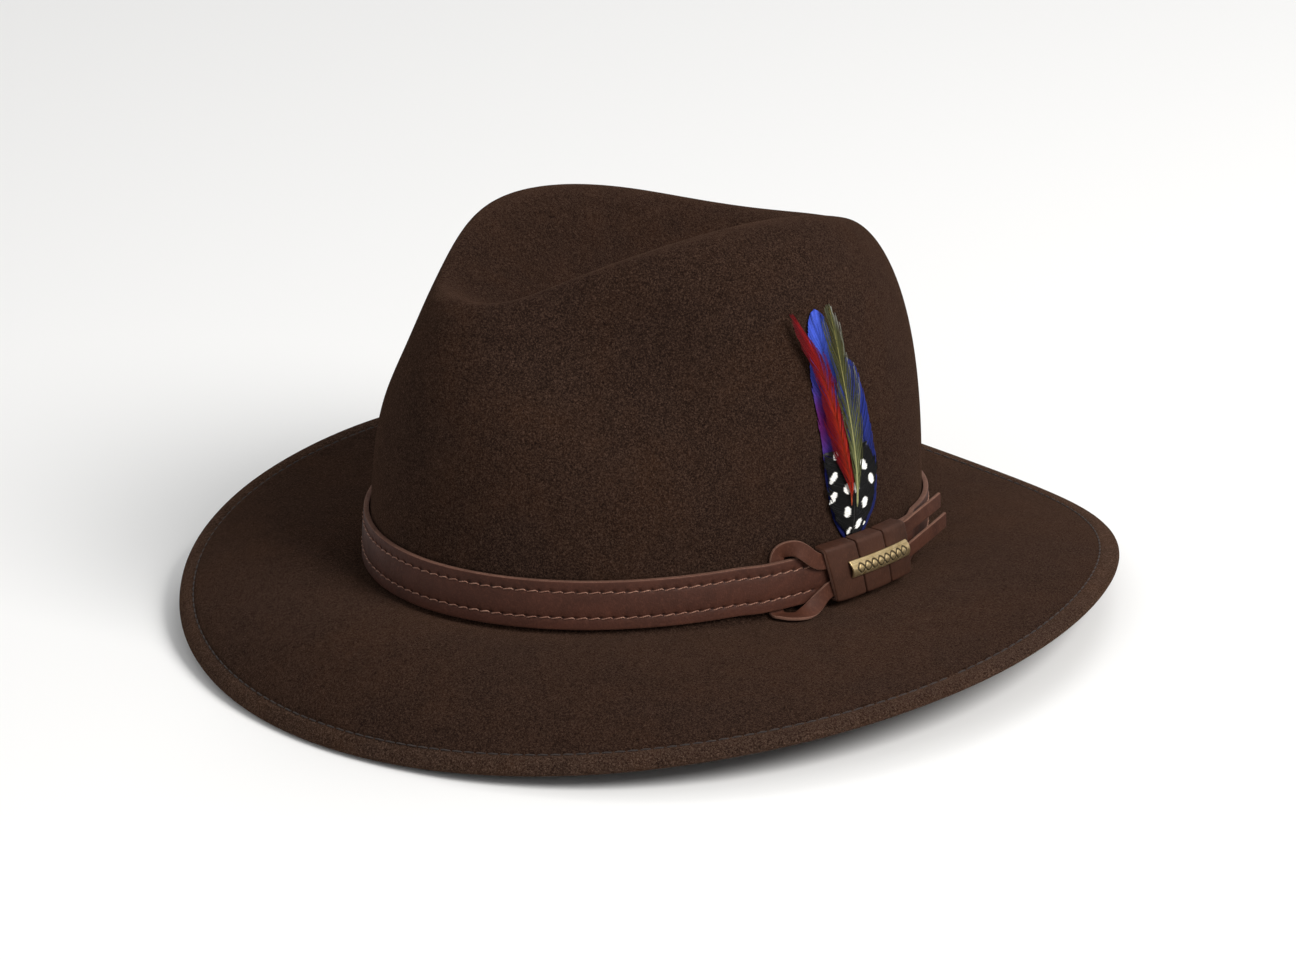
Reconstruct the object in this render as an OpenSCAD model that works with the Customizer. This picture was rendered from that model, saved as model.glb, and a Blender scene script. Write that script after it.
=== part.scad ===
// Fedora hat: a one-piece felt body with a creased, pinched crown and a snap brim,
// a stitched leather band with a lace, a keeper and a metal badge, a bunch of five
// feathers that slides out of the band, and a sweatband and lining inside.
// The wearer faces -Y and the wearer's left side is +X. The hat stands on its brim.
// Angles around the crown run from +X (wearer's left) through +Y (back).
// A height along the crown wall is measured from the break, where brim and crown meet.
// An offset is measured outward from the outer face of the felt.

/* [Head] */
// Half the length of the felt crown at the break
base_half_l = 104; // [100:0.5:108]
// Half the width of the felt crown at the break
base_half_w = 88.5; // [85:0.5:92]
// Egg shape of the crown base, wider at the back
base_egg = 0.006; // [-0.02:0.001:0.02]

/* [Felt] */
// Thickness of the felt
felt_t = 2.2; // [1.8:0.1:2.4]
// Thickness of the brim edge, where the felt is turned under and sewn
welt_t = 3; // [2.6:0.1:4]
// Width of the turned edge
welt_w = 5.8; // [5:0.1:8]
// Radius between crown and brim
break_r = 2.5; // [2:0.1:3]

/* [Crown] */
// Height of the crown before it is creased
crown_h = 134.6; // [128:0.1:140]
// Squareness of the crown's side profile
crown_square = 3.66; // [3.2:0.01:4.4]
// Extra squareness towards the back
crown_square_back = -0.64; // [-0.9:0.01:0.5]
// Extra squareness at the sides
crown_square_side = -0.02; // [-0.3:0.01:0.3]
// How much narrower the crown's sides are at the top, as a fraction
side_taper = 0.08; // [0.06:0.001:0.2]
// How much the front and back close in at the top, as a fraction
end_taper = 0.017; // [0:0.001:0.1]
// Extra closing in at the back, as a fraction
back_taper = 0.076; // [0:0.001:0.12]
// Lean of the crown towards the back
crown_lean = 4.9; // [0:0.1:7]
// Lean of the crown's top back towards the front
top_lean = -0.6; // [-3:0.1:6]
// Fall of the crown's top towards the back
top_fall = 3; // [-1:0.1:6]
// Extra height of the crown's top at front and back
top_bow = -5.2; // [-7:0.1:4]
// Extra height of the left ridge over the right one
top_roll = 6.8; // [-3:0.1:8]
// Extra height of the left ridge towards the back
top_twist = 11.9; // [0:0.1:14]
// Extra height of the crown's top at its far back, taken off the front
top_cube = 6.7; // [0:0.1:9]

/* [Crease] */
// Depth of the centre crease
crease_depth = 45; // [36:0.1:46]
// Extra depth of the crease towards the front
crease_depth_front = 0.3; // [0:0.1:6]
// Half the width of the crease at the middle of the crown
crease_half_w = 39.1; // [34:0.1:42]
// Extra half width towards the back
crease_w_back = 0.5; // [-2:0.1:4]
// Extra half width towards both ends
crease_w_ends = -2.6; // [-6:0.1:4]
// Flatness of the crease's floor
crease_floor = 2.22; // [2:0.01:2.6]
// How quickly the crease fades down the walls
crease_wall_fade = 7.17; // [6:0.01:8]
// Where the crease starts, at the front
crease_front_y = -89; // [-92:0.5:-84]
// Length over which it starts
crease_front_fade = 5; // [4:0.1:10]
// Where the crease ends, at the back
crease_back_y = 65.8; // [60:0.1:72]
// Length over which it ends
crease_back_fade = 12.5; // [10:0.1:18]
// How far the crease lies towards the wearer's left
crease_shift = -2.4; // [-5:0.1:5]

/* [Front pinches] */
// Depth of the pinch on each side of the front
pinch_depth = 21; // [0:0.1:23]
// Where the pinches are, front to back
pinch_y = -61.4; // [-70:0.1:-56]
// Height of the pinches
pinch_z = 91.6; // [84:0.1:96]
// Length of a pinch
pinch_l = 33.9; // [26:0.1:36]
// Height over which a pinch reaches
pinch_h = 29; // [24:0.1:32]

/* [Brim] */
// Width of the brim along the felt
brim_w = 71.9; // [68:0.1:76]
// Extra width at the back, taken off the front
brim_w_back = -2.1; // [-3:0.1:3]
// Extra width at the sides, taken off the front and back
brim_w_side = 4.8; // [-5:0.1:6]
// Height by which the break rises at the sides and falls at front and back
break_wave = 2.2; // [0:0.1:4]
// Slope of the brim at the break: mean
slope_mean = 0.141; // [0.08:0.001:0.22]
// Slope: back minus front
slope_back = 0.112; // [0:0.001:0.2]
// Slope: sides minus front and back
slope_side = -0.075; // [-0.2:0.001:0]
// Slope: third harmonic
slope_third = 0.066; // [0:0.001:0.1]
// Slope: fourth harmonic
slope_fourth = -0.059; // [-0.06:0.001:0.05]
// Slope: fifth harmonic
slope_fifth = 0.009; // [-0.05:0.001:0.05]
// Curl of the brim out to its edge: mean
curl_mean = -0.248; // [-0.3:0.001:-0.2]
// Curl: back minus front
curl_back = 0.167; // [0.05:0.001:0.2]
// Curl: sides minus front and back
curl_side = 0.183; // [0.12:0.001:0.24]
// Curl: third harmonic
curl_third = -0.045; // [-0.08:0.001:0.04]
// Curl: fourth harmonic
curl_fourth = 0.038; // [-0.03:0.001:0.05]
// Curl: fifth harmonic
curl_fifth = -0.002; // [-0.03:0.001:0.04]
// Curl: left minus right
curl_left = -0.021; // [-0.06:0.001:0.03]
// Pitch at which the hat stands on the lowest points of its brim
stand_pitch = -5.31; // [-5.6:0.01:-5]

/* [Band] */
// Height of the band's lower edge at the front
band_low = 2; // [2:0.1:3.2]
// Height of the leather strap
band_h = 17; // [15:0.1:18]
// How much higher the band lies at the back than at the front
band_rise = 3.8; // [2.4:0.1:3.9]
// Thickness of the leather strap
band_t = 2; // [1.6:0.1:2.2]
// Gap between band and felt
band_gap = 0.4; // [0.3:0.1:0.6]
// How far the strap stands off under the keeper
band_bulge = 1.7; // [1.6:0.1:2]
// Width of the lace
lace_w = 5.6; // [4.5:0.1:6]
// Thickness of the lace
lace_t = 1.2; // [1:0.1:1.3]
// Length of the lace's upper loose end
tail_l = 26; // [15:1:30]
// Length of the lower loose end
tail_low_l = 31; // [20:1:34]
// How far the loose ends spread from the wall, as a fraction of their length
tail_spread = 0.03; // [0.02:0.01:0.3]

/* [Keeper] */
// Angle of the keeper's front end
keeper_from = 0.3; // [0:0.1:1.5]
// Angle of the keeper's back end
keeper_to = 23.3; // [22:0.1:25]
// Lean of the keeper's top towards the front, in degrees for each millimetre
keeper_lean = 0.19; // [0:0.01:0.25]
// Thickness of the keeper's leather
keeper_t = 1.4; // [1.2:0.1:1.6]
// Length of the badge
badge_l = 31; // [26:0.5:34]
// Height of the badge
badge_h = 6.2; // [5:0.1:7]

/* [Feathers] */
// Angle of the quills behind the keeper
quill_a = 9; // [8:0.1:10]
// Thickness of one feather
feather_t = 0.6; // [0.4:0.1:0.6]
// Height of the longest feather's tip
feather_top = 101; // [92:0.5:102]

/* [Inside] */
// Height of the sweatband's upper edge
sweat_high = 36; // [30:0.5:38]
// Thickness of the sweatband
sweat_t = 1.1; // [0.8:0.1:1.2]
// Thickness of the lining
lining_t = 0.4; // [0.3:0.1:0.4]

/* [Hidden] */
// Steps around the crown, and rows up it
around = 64;
crown_rows = 17;
brim_rows = 8;
// Steps around the thin rings
ring_steps = 120;
// Clearance between pieces that lie on each other
lie = 0.15;
lie_thread = 0.3;
// Slopes of the lace's upper and lower loose ends
tail_rise = [0.17, 0.18];
// Sines of the angles between which the band rises towards the back
band_sines = [-0.825, 0.525];
// Thread
thread_w = 0.5;
thread_t = 0.25;
STEP_A = 360 / around;

// ---- general geometry ----

function tanh(v) = 1 - 2 / (exp(2 * v) + 1);
function unit(v) = v / norm(v);
function mix(p, q, t) = p + (q - p) * t;
function smooth(t) = let (s = min(max(t, 0), 1)) s * s * (3 - 2 * s);
function last(v) = v[len(v) - 1];
function flat(rows) = [for (row = rows) each row];
function sinc(deg) = abs(deg) < 0.1 ? 1 : sin(deg) / (deg * PI / 180);

// Two triangles for each square of a grid that wraps around in its second index
function skin(rows, n) = [
    for (i = [0:rows - 2], j = [0:n - 1])
        let (k = (j + 1) % n, p = i * n)
            each [[p + j, p + n + j, p + k], [p + k, p + n + j, p + n + k]]
];

// The end of a loft whose loop runs along one face and back along the other
function cap(start, n, flip) = [
    for (k = [0:n / 2 - 2])
        let (a = start + k, b = a + 1, c = start + n - 2 - k, d = c + 1)
            each flip ? [[a, b, c], [a, c, d]] : [[a, c, b], [a, d, c]]
];

// Twelve times the volume inside a closed surface; its sign tells which way the faces turn
function volume_sign(points, faces) =
    let (parts = [for (f = faces) cross(points[f[0]], points[f[1]]) * points[f[2]]])
        parts * [for (v = parts) 1];

// A polyhedron whose faces all turn outward
module solid(points, faces) {
    outward = volume_sign(points, faces) < 0 ? faces : [for (f = faces) [f[0], f[2], f[1]]];
    polyhedron(points = points, faces = outward, convexity = 8);
}

// A solid through a list of loops, open with two ends or closed on itself
module loft(loops, ring = false) {
    n = len(loops[0]);
    rows = ring ? concat(loops, [loops[0]]) : loops;
    m = len(loops);
    faces = [for (f = skin(len(rows), n)) [for (v = f) v % (m * n)]];
    ends = ring ? [] : concat(cap(0, n, true), cap((m - 1) * n, n, false));
    solid(flat(loops), concat(faces, ends));
}

// ---- crown, brim and the wall that the trim lies on ----

function crown_power(a) =
    crown_square + crown_square_back * sin(a) + crown_square_side * cos(2 * a);

// The crown's surface at angle a, where e is the level and rho the share of the base radius
function crown_at(a, rho, e) =
    let (
        x = base_half_w * rho * (1 - side_taper * e) * cos(a) * (1 + base_egg * sin(a)),
        y = base_half_l * rho * (1 - (end_taper + back_taper * sin(a)) * e) * sin(a)
            + crown_lean * e - top_lean * e * e,
        v = y / base_half_l,
        tilt = (top_roll + top_twist * v) * x / base_half_w - top_fall * v + top_cube * v * v * v,
        z = crown_h * e + (tilt + top_bow * (v * v - 0.5)) * e * e,
        half = crease_half_w + crease_w_back * v + crease_w_ends * v * v,
        start = 1 / (1 + exp((crease_front_y - y) / crease_front_fade)),
        stop = 1 / (1 + exp((y - crease_back_y) / crease_back_fade)),
        dip = (crease_depth - crease_depth_front * v) * start * stop
            * exp(-pow(abs(x - crease_shift) / half, crease_floor)) * pow(e, crease_wall_fade),
        pinch = pinch_depth * exp(-pow((y - pinch_y) / pinch_l, 2) - pow((z - pinch_z) / pinch_h, 2))
    )
    [
        x - tanh(x / 15) * pinch,
        y,
        z - dip + break_wave * cos(2 * a) * pow(1 - e, 2)
    ];

// The crown's surface by an angle phi that runs from the break to the top
function crown_point(a, phi) =
    let (
        m = crown_power(a),
        r = pow(pow(cos(phi), m) + pow(sin(phi), m), -1 / m)
    )
    crown_at(a, r * cos(phi), r * sin(phi));

// Outward direction of the wall, level with the brim
function out(a) = unit([cos(a) / base_half_w, sin(a) / base_half_l, 0]);

// A point beside the crown wall at angle a, height h and offset off
function wall(a, h, off) =
    let (e = max(h, 0) / crown_h, m = crown_power(a))
    crown_at(a, pow(1 - pow(e, m), 1 / m), e) + [0, 0, min(h, 0)] + out(a) * off;

function slope(a) = slope_mean + slope_back * sin(a) + slope_side * cos(2 * a)
    + slope_third * sin(3 * a) + slope_fourth * cos(4 * a) - slope_fifth * sin(5 * a);
function curl(a) = curl_mean + curl_back * sin(a) + curl_side * cos(2 * a)
    + curl_third * sin(3 * a) + curl_fourth * cos(4 * a) - curl_fifth * sin(5 * a)
    + curl_left * cos(a);
function width(a) = brim_w + brim_w_back * sin(a) + brim_w_side * cos(2 * a);

// The brim's upper face at share t of its width, moved up by lift along its own normal
function brim(a, t, lift = 0) =
    let (
        first = atan(slope(a)),
        bend = curl(a) * 180 / PI,
        reach = width(a) * t * sinc(bend * t),
        here = first + 2 * bend * t
    )
    wall(a, 0, 0)
    + out(a) * (reach * cos(first + bend * t) - lift * sin(here))
    + [0, 0, reach * sin(first + bend * t) + lift * cos(here)];

// The outer face of the felt at angle a, from the top of the crown to the brim's edge
function felt_profile(a) =
    let (
        foot = wall(a, break_r, 0),
        corner = wall(a, 0, 0),
        toe = brim(a, break_r / width(a))
    )
    concat(
        [for (i = [1:crown_rows]) crown_point(a, 90 - 84 * pow(i / crown_rows, 0.9))],
        [for (t = [0.03, 0.5, 0.97]) mix(mix(foot, corner, t), mix(corner, toe, t), t)],
        [for (i = [1:brim_rows]) brim(a, pow(i / brim_rows, 0.9))]
    );

felt_grid = [for (j = [0:around - 1]) felt_profile(j * STEP_A)];
profile_n = len(felt_grid[0]);
top_point = crown_point(0, 90);

function normal_at(j, i) =
    let (
        up = i == 0 ? top_point : felt_grid[j][i - 1],
        down = i == profile_n - 1 ? felt_grid[j][i] : felt_grid[j][i + 1],
        left = felt_grid[(j + around - 1) % around][i],
        right = felt_grid[(j + 1) % around][i]
    )
    unit(cross(down - up, right - left));

// Every felt normal, so that the felt, the lining and the welt share them
felt_normals = [for (j = [0:around - 1]) [for (i = [0:profile_n - 1]) normal_at(j, i)]];

function turned(j, i) = let (back = norm(last(felt_grid[j]) - felt_grid[j][i])) back < welt_w;
function thickness(j, i) = turned(j, i) ? welt_t : felt_t;
function under(j, i, depth) = felt_grid[j][i] - felt_normals[j][i] * depth;

// Half round nose of the brim's edge
function nose(j, turn) =
    let (
        n = last(felt_normals[j]),
        edge = last(felt_grid[j]),
        ahead = unit(edge - felt_grid[j][profile_n - 2]),
        r = welt_t / 2
    )
    edge + (n * (cos(turn) - 1) + ahead * sin(turn)) * r;

function felt_section(j) = concat(
    felt_grid[j],
    [for (turn = [60, 120]) nose(j, turn)],
    [for (i = [profile_n - 1:-1:0]) under(j, i, thickness(j, i))]
);

// The lowest point and the middle of the standing hat
function pitched_y(p) = p[1] * cos(stand_pitch) - p[2] * sin(stand_pitch);
function pitched_z(p) = p[1] * sin(stand_pitch) + p[2] * cos(stand_pitch);
mesh_edge = [for (j = [0:around - 1], turn = [60, 120]) nose(j, turn)];
mesh_under = [
    for (j = [0:around - 1], i = [profile_n - 3:profile_n - 1]) under(j, i, thickness(j, i))
];
mesh_low = concat(mesh_edge, mesh_under, [for (j = [0:around - 1]) last(felt_grid[j])]);
low_z = min([for (p = mesh_low) pitched_z(p)]);
mesh_low_y = [for (p = mesh_low) pitched_y(p)];
mesh_low_x = [for (p = mesh_low) p[0]];
mid_y = (min(mesh_low_y) + max(mesh_low_y)) / 2;
mid_x = (min(mesh_low_x) + max(mesh_low_x)) / 2;

// Stands the hat on its brim, with the origin below its middle
module standing() {
    translate([-mid_x, -mid_y, -low_z])
        rotate([stand_pitch, 0, 0])
            children();
}

// ---- pieces that lie on the wall ----

// Height on the band at angle a; share runs from 0 at its lower edge to 1 at its upper edge
function band_at(a, share) =
    let (risen = (sin(a) - band_sines[0]) / (band_sines[1] - band_sines[0]))
    band_low + band_rise * smooth(risen) + band_h * share;

// Both faces of a strip up the wall at angle a, as one loop
function upright(a, heights, inner, outer) = concat(
    [for (h = heights) wall(a, h, outer)],
    [for (i = [len(heights) - 1:-1:0]) wall(a, heights[i], inner)]
);

// Where the strap's inner face is: it stands off under the keeper and the lace
bulge_from = -19;
bulge_to = keeper_to + 4;
function strap_in(a) =
    let (d = a > 180 ? a - 360 : a)
    band_gap + band_bulge * smooth((d - bulge_from) / 6) * (1 - smooth((d - bulge_to) / 6));

// A thin ring of thread on a face that is given as a list of [point, outward, up]
function thread_loop(p, outward, up) = [
    p - up * thread_w / 2,
    p - up * thread_w / 2 + outward * thread_t,
    p + up * thread_w / 2 + outward * thread_t,
    p + up * thread_w / 2
];

function arc(from, to, steps) = [for (i = [0:steps]) from + (to - from) * i / steps];

// ---- felt ----

module felt_body() {
    sections = [for (j = [0:around - 1]) felt_section(j)];
    rows = len(sections[0]);
    inner_top = top_point - [0, 0, felt_t];
    points = concat(flat(sections), [top_point, inner_top]);
    count = around * rows;
    walls = [
        for (j = [0:around - 1], i = [0:rows - 2])
            let (p = j * rows + i, q = ((j + 1) % around) * rows + i)
                each [[p, q, p + 1], [q, q + 1, p + 1]]
    ];
    poles = [
        for (j = [0:around - 1])
            let (p = j * rows, q = ((j + 1) % around) * rows)
                each [[count, q, p], [count + 1, p + rows - 1, q + rows - 1]]
    ];
    color([0.24, 0.18, 0.15])
        standing()
            solid(points, concat(walls, poles));
}

module brim_edge_stitching() {
    share = 1 - welt_w / brim_w;
    color([0.3, 0.22, 0.18])
        standing()
            for (lift = [lie_thread, -welt_t - lie_thread - thread_t])
                loft([
                    for (a = arc(0, 360 - 360 / ring_steps, ring_steps - 1))
                        let (p = brim(a, share, lift), q = brim(a, share, lift + 1))
                            thread_loop(p, q - p, out(a))
                ], ring = true);
}

// ---- band ----

module hat_band() {
    color([0.36, 0.24, 0.2])
        standing()
            loft([
                for (a = arc(0, 360 - 360 / ring_steps, ring_steps - 1))
                    upright(a, [band_at(a, 0), band_at(a, 1)], strap_in(a), strap_in(a) + band_t)
            ], ring = true);
}

// Two rows of thread, from the keeper right around to the keeper
module hat_band_stitching() {
    color([0.68, 0.52, 0.44])
        standing()
            for (share = [0.24, 0.77])
                loft([
                    for (a = arc(keeper_to + 6, 360 + keeper_from - 3, ring_steps))
                        thread_loop(
                            wall(a, band_at(a, share), strap_in(a) + band_t + lie_thread),
                            out(a), [0, 0, 1])
                ]);
}

// The lace passes through the keeper, over the strap, down behind it, out under it and back
// through the keeper. Each stop is [angle, height, offset, lean] of the middle of the lace,
// where lean turns its outer face from outward, 0, to upward, 90.
// Lean of the wall behind the keeper
wall_lean = 7;
lace_off = band_gap + band_bulge + band_t + 2 * lie + lace_t / 2;
lace_bends = [
    [-1.6, 18.5, lace_off, wall_lean],
    [-3.6, 20.4, 5.4, wall_lean],
    [-5.4, 23, 5.5, wall_lean],
    [-7, 24.8, 4.7, 0],
    [-8.5, 24.7, 3, 0],
    [-9.7, 23.2, 1.5, 0],
    [-10.1, 20.4, 1.15, 0],
    [-10.1, 6, 1.15, 0],
    [-10.1, 4, 1.25, 0],
    [-9.9, 2.3, 2, 45],
    [-9.5, 1.5, 3.4, 90],
    [-8.5, 1.4, 5.6, 90],
    [-6.9, 1.6, 7.2, 85],
    [-4.7, 2.6, 7.3, 60],
    [-2.5, 4.5, 6.3, 30],
    [-0.6, 6.5, 5.6, 8]
];
lace_high = [19.9, 18.4];
lace_low = [7.6, 10.4];
lace_stops = concat(
    [
        for (t = [0:0.14:0.98])
            [mix(keeper_to, keeper_from, t), mix(lace_high[0], lace_high[1], t), lace_off, wall_lean]
    ],
    lace_bends,
    [
        for (t = [0.02:0.14:1])
            [mix(keeper_from, keeper_to, t), mix(lace_low[0], lace_low[1], t), lace_off, wall_lean]
    ]
);
lace_end = len(lace_stops) - 1;

function lace_point(i) = wall(lace_stops[i][0], lace_stops[i][1], lace_stops[i][2]);

// A flat section across the run at p, whose outer face turns towards face
function lace_loop(p, run, face) =
    let (
        across = unit(cross(face, run)) * lace_w / 2,
        thick = unit(cross(run, across)) * lace_t / 2
    )
    [p - across - thick, p - across + thick, p + across + thick, p + across - thick];

function lace_section(i) =
    let (
        run = lace_point(min(i + 1, lace_end)) - lace_point(max(i - 1, 0)),
        lean = lace_stops[i][3]
    )
    lace_loop(lace_point(i), unit(run), out(lace_stops[i][0]) * cos(lean) + [0, 0, sin(lean)]);

// The two loose ends leave the keeper straight, while the wall curves away from them
function tail(i, way, length, rise, share) =
    let (
        along = cross([0, 0, 1], out(keeper_to)),
        away = unit(along + out(keeper_to) * tail_spread + [0, 0, rise])
    )
    lace_loop(lace_point(i) + away * length * share, away * way, out(keeper_to));

module band_lace() {
    shares = [1, 0.66, 0.33, 0.08];
    color([0.34, 0.22, 0.19])
        standing()
            loft(concat(
                [for (s = shares) tail(0, -1, tail_l, tail_rise[0], s)],
                [for (i = [1:lace_end - 1]) lace_section(i)],
                [for (k = [3:-1:0]) tail(lace_end, 1, tail_low_l, tail_rise[1], shares[k])]
            ));
}

// ---- keeper and badge ----

keeper_in = lace_off + lace_t / 2 + 2 * lie;
keeper_out = keeper_in + keeper_t;
function keeper_low(a) = band_at(a, 0) - lie - keeper_t;
function keeper_high(a) = band_at(a, 1) + lie + keeper_t;
turn_a = (keeper_to - keeper_from) / 3;
slits = [keeper_from + turn_a, keeper_from + 2 * turn_a];

function slit_depth(a) = max([for (s = slits) abs(a - s) < 0.3 ? 0.9 : 0]);

// A point beside the wall, leaning with the keeper
function leaning(a, h, off) = wall(a - keeper_lean * (h - band_at(a, 0.5)), h, off);

// One strip of leather wrapped over the strap; the slits show where its turns meet
module keeper_wrap() {
    stations = concat(
        arc(keeper_from, keeper_from + turn_a * 0.7, 2),
        [for (s = slits) each [s - 0.5, s - 0.2, s + 0.2, s + 0.5, s + turn_a / 3, s + turn_a * 0.7]],
        [keeper_to]
    );
    color([0.33, 0.21, 0.18])
        standing()
            loft([
                for (a = stations)
                    let (
                        back = strap_in(a),
                        slit = slit_depth(a),
                        top = keeper_out - slit,
                        high = keeper_high(a) - slit,
                        low = keeper_low(a) + slit,
                        inner_high = band_at(a, 1) + lie,
                        inner_low = band_at(a, 0) - lie
                    )
                        [
                            leaning(a, low, back), leaning(a, low, top),
                            leaning(a, high, top), leaning(a, high, back),
                            leaning(a, inner_high, back), leaning(a, inner_high, keeper_in),
                            leaning(a, inner_low, keeper_in), leaning(a, inner_low, back)
                        ]
            ]);
}

badge_a = 13.2;
badge_mid_share = 0.55;
badge_off = keeper_out + lie;
badge_rise = 1.9;
badge_t = 0.7;
badge_half_a = badge_l / 2 / base_half_l * 180 / PI;

// A cambered plate, bent to the keeper
module badge_plate() {
    bows = [for (t = [-1:0.25:1]) t];
    color([0.62, 0.5, 0.3])
        standing()
            loft([
                for (a = arc(badge_a - badge_half_a, badge_a + badge_half_a, 10))
                    concat(
                        [for (t = bows) leaning(a, band_at(a, badge_mid_share) + t * badge_h / 2,
                            badge_off + badge_t + (badge_rise - badge_t) * (1 - t * t))],
                        [for (i = [len(bows) - 1:-1:0])
                            let (t = bows[i])
                                leaning(a, band_at(a, badge_mid_share) + t * (badge_h / 2 - 0.05),
                                    badge_off + (badge_rise - badge_t) * (1 - t * t))]
                    )
            ]);
}

// Two prongs on the back of the badge, pushed through the keeper's leather
module badge_prongs() {
    prong_w = 1.2;
    color([0.55, 0.45, 0.28])
        standing()
            for (side = [-1, 1]) {
                a = badge_a + side * badge_half_a * 0.7;
                half_a = prong_w / 2 / base_half_l * 180 / PI;
                mid_h = band_at(a, badge_mid_share);
                loft([
                    for (b = [a - half_a, a + half_a])
                        upright(b, [mid_h - prong_w, mid_h + prong_w], keeper_in + lie, badge_off + 0.9)
                ]);
            }
}

// ---- feathers ----

// A feather is a thin blade on the wall. Each row is [height, left angle, right angle].
module feather(rows, off, tint) {
    n = 4;
    color(tint)
        standing()
            loft([
                for (r = rows)
                    concat(
                        [for (k = [0:n]) wall(mix(r[1], r[2], k / n), r[0], off + feather_t)],
                        [for (k = [n:-1:0]) wall(mix(r[1], r[2], k / n), r[0], off)]
                    )
            ]);
}

feather_low = keeper_high(quill_a) + 0.8;
function layer(i) = 0.5 + i * (feather_t + lie);

module feather_blue_back() {
    rows = [
        [feather_low, 7.4, 10.4], [31, 3.9, 10.6], [42, 2, 10.8], [58, 0.3, 9.6],
        [76, -1.3, 6.4], [90, -1.5, 4.3], [96, -1.1, 3.5], [feather_top - 1.5, 0.4, 1.8]
    ];
    feather(rows, layer(0), [0.25, 0.33, 0.72]);
}

module feather_blue_side() {
    rows = [
        [feather_low, 10, 13.2], [28, 10.2, 14.2], [34.5, 9.4, 15.8], [42, 9, 16.2],
        [50, 8.6, 15.4], [64, 7.6, 13.5], [74, 7.2, 11.5], [83, 7, 8.6]
    ];
    feather(rows, layer(1), [0.2, 0.28, 0.65]);
}

module feather_guinea() {
    rows = [
        [feather_low, 7.6, 11], [28, 5, 12.4], [34, 2.8, 14], [42, 1.6, 15.2],
        [50, 0.7, 14], [55, 1.2, 12]
    ];
    feather(rows, layer(2), [0.08, 0.08, 0.09]);
}

module feather_red() {
    rows = [
        [36, 7.4, 8.8], [44, 6, 8], [52, 3.6, 7.2], [62, 0.9, 5.2],
        [76, -1, 2.8], [88, -4, -0.6], [feather_top, -7, -6.3]
    ];
    feather(rows, layer(3), [0.7, 0.12, 0.1]);
}

module feather_olive() {
    rows = [
        [34, 7.4, 8.6], [44, 6.8, 8.6], [59, 5.2, 9], [75, 3.1, 8.2],
        [88, 2.1, 6.6], [97, 1.7, 4.8], [feather_top, 2.4, 3.2]
    ];
    feather(rows, layer(4), [0.42, 0.42, 0.25]);
}

mount_half_a = 1.9;
mount_low = 4;

// The quills' flat end, which slides behind the strap
module feather_mount() {
    color([0.75, 0.7, 0.6])
        standing()
            loft([
                for (a = arc(quill_a - mount_half_a, quill_a + mount_half_a, 2))
                    upright(a, [mount_low, feather_low - 0.3], 0.75, 1.35)
            ]);
}

// A sleeve of thread around the quills
module feather_binding() {
    wide = mount_half_a + 0.25;
    low = 10;
    high = 16;
    color([0.2, 0.18, 0.16])
        standing()
            difference() {
                loft([
                    for (a = arc(quill_a - wide, quill_a + wide, 2))
                        upright(a, [low, high], 0.45, 1.65)
                ]);
                loft([
                    for (a = arc(quill_a - mount_half_a - 0.06, quill_a + mount_half_a + 0.06, 2))
                        upright(a, [low - 1, high + 1], 0.65, 1.45)
                ]);
            }
}

// ---- inside ----

back_a = 90;
lining_first = 2;
lining_gap = felt_t + 0.7;
sweat_out = -lining_gap - lining_t - 0.2;
sweat_in = sweat_out - sweat_t;

// The sweatband is open at the back, where the bow covers the gap
module sweatband() {
    gap_a = 1.1;
    color([0.42, 0.3, 0.22])
        standing()
            loft([
                for (a = arc(back_a + gap_a, back_a + 360 - gap_a, ring_steps))
                    upright(a, [1.6, 12, 24, sweat_high], sweat_in, sweat_out)
            ]);
}

// A round cord in the sweatband's lower edge
module sweatband_reed() {
    reed_r = 1;
    reed_sides = 8;
    middle = (sweat_in + sweat_out) / 2;
    color([0.7, 0.65, 0.55])
        standing()
            loft([
                for (a = arc(0, 360 - 360 / ring_steps, ring_steps - 1))
                    [for (k = [0:reed_sides - 1])
                        wall(a, 0, middle + reed_r * cos(360 * k / reed_sides))
                        + [0, 0, reed_r * sin(360 * k / reed_sides) + 0.3]]
            ], ring = true);
}

module sweatband_stitching() {
    stitch_h = 3;
    color([0.6, 0.5, 0.4])
        standing()
            loft([
                for (a = arc(back_a + 2, back_a + 358, ring_steps))
                    thread_loop(wall(a, stitch_h, sweat_in - lie - thread_t), out(a), [0, 0, 1])
            ]);
}

// A small ribbon bow over the sweatband's ends
module sweatband_bow() {
    bow_h = 7;
    shape = [[-6, 2.8], [-3, 2.1], [-0.8, 0.9], [0.8, 0.9], [3, 2.1], [6, 2.8]];
    color([0.2, 0.15, 0.12])
        standing()
            loft([
                for (s = shape)
                    upright(back_a + s[0], [bow_h - s[1], bow_h + s[1]],
                        sweat_in - 1.2, sweat_in - 2 * lie)
            ]);
}

// A blank cloth tab under the sweatband's edge
module size_label() {
    color([0.85, 0.82, 0.75])
        standing()
            loft([
                for (a = arc(back_a + 18, back_a + 24, 3))
                    upright(a, [8, 24], sweat_in - 2 * lie - 0.3, sweat_in - lie)
            ]);
}

tip_row = 9;
side_row = crown_rows - lining_first;

module lining_side() {
    rows = [tip_row + 1:side_row];
    color([0.34, 0.26, 0.2])
        standing()
            loft([
                for (j = [0:around - 1])
                    concat(
                        [for (i = [side_row:-1:tip_row + 1]) under(j, i, lining_gap)],
                        [for (i = rows) under(j, i, lining_gap + lining_t)]
                    )
            ], ring = true);
}

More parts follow.
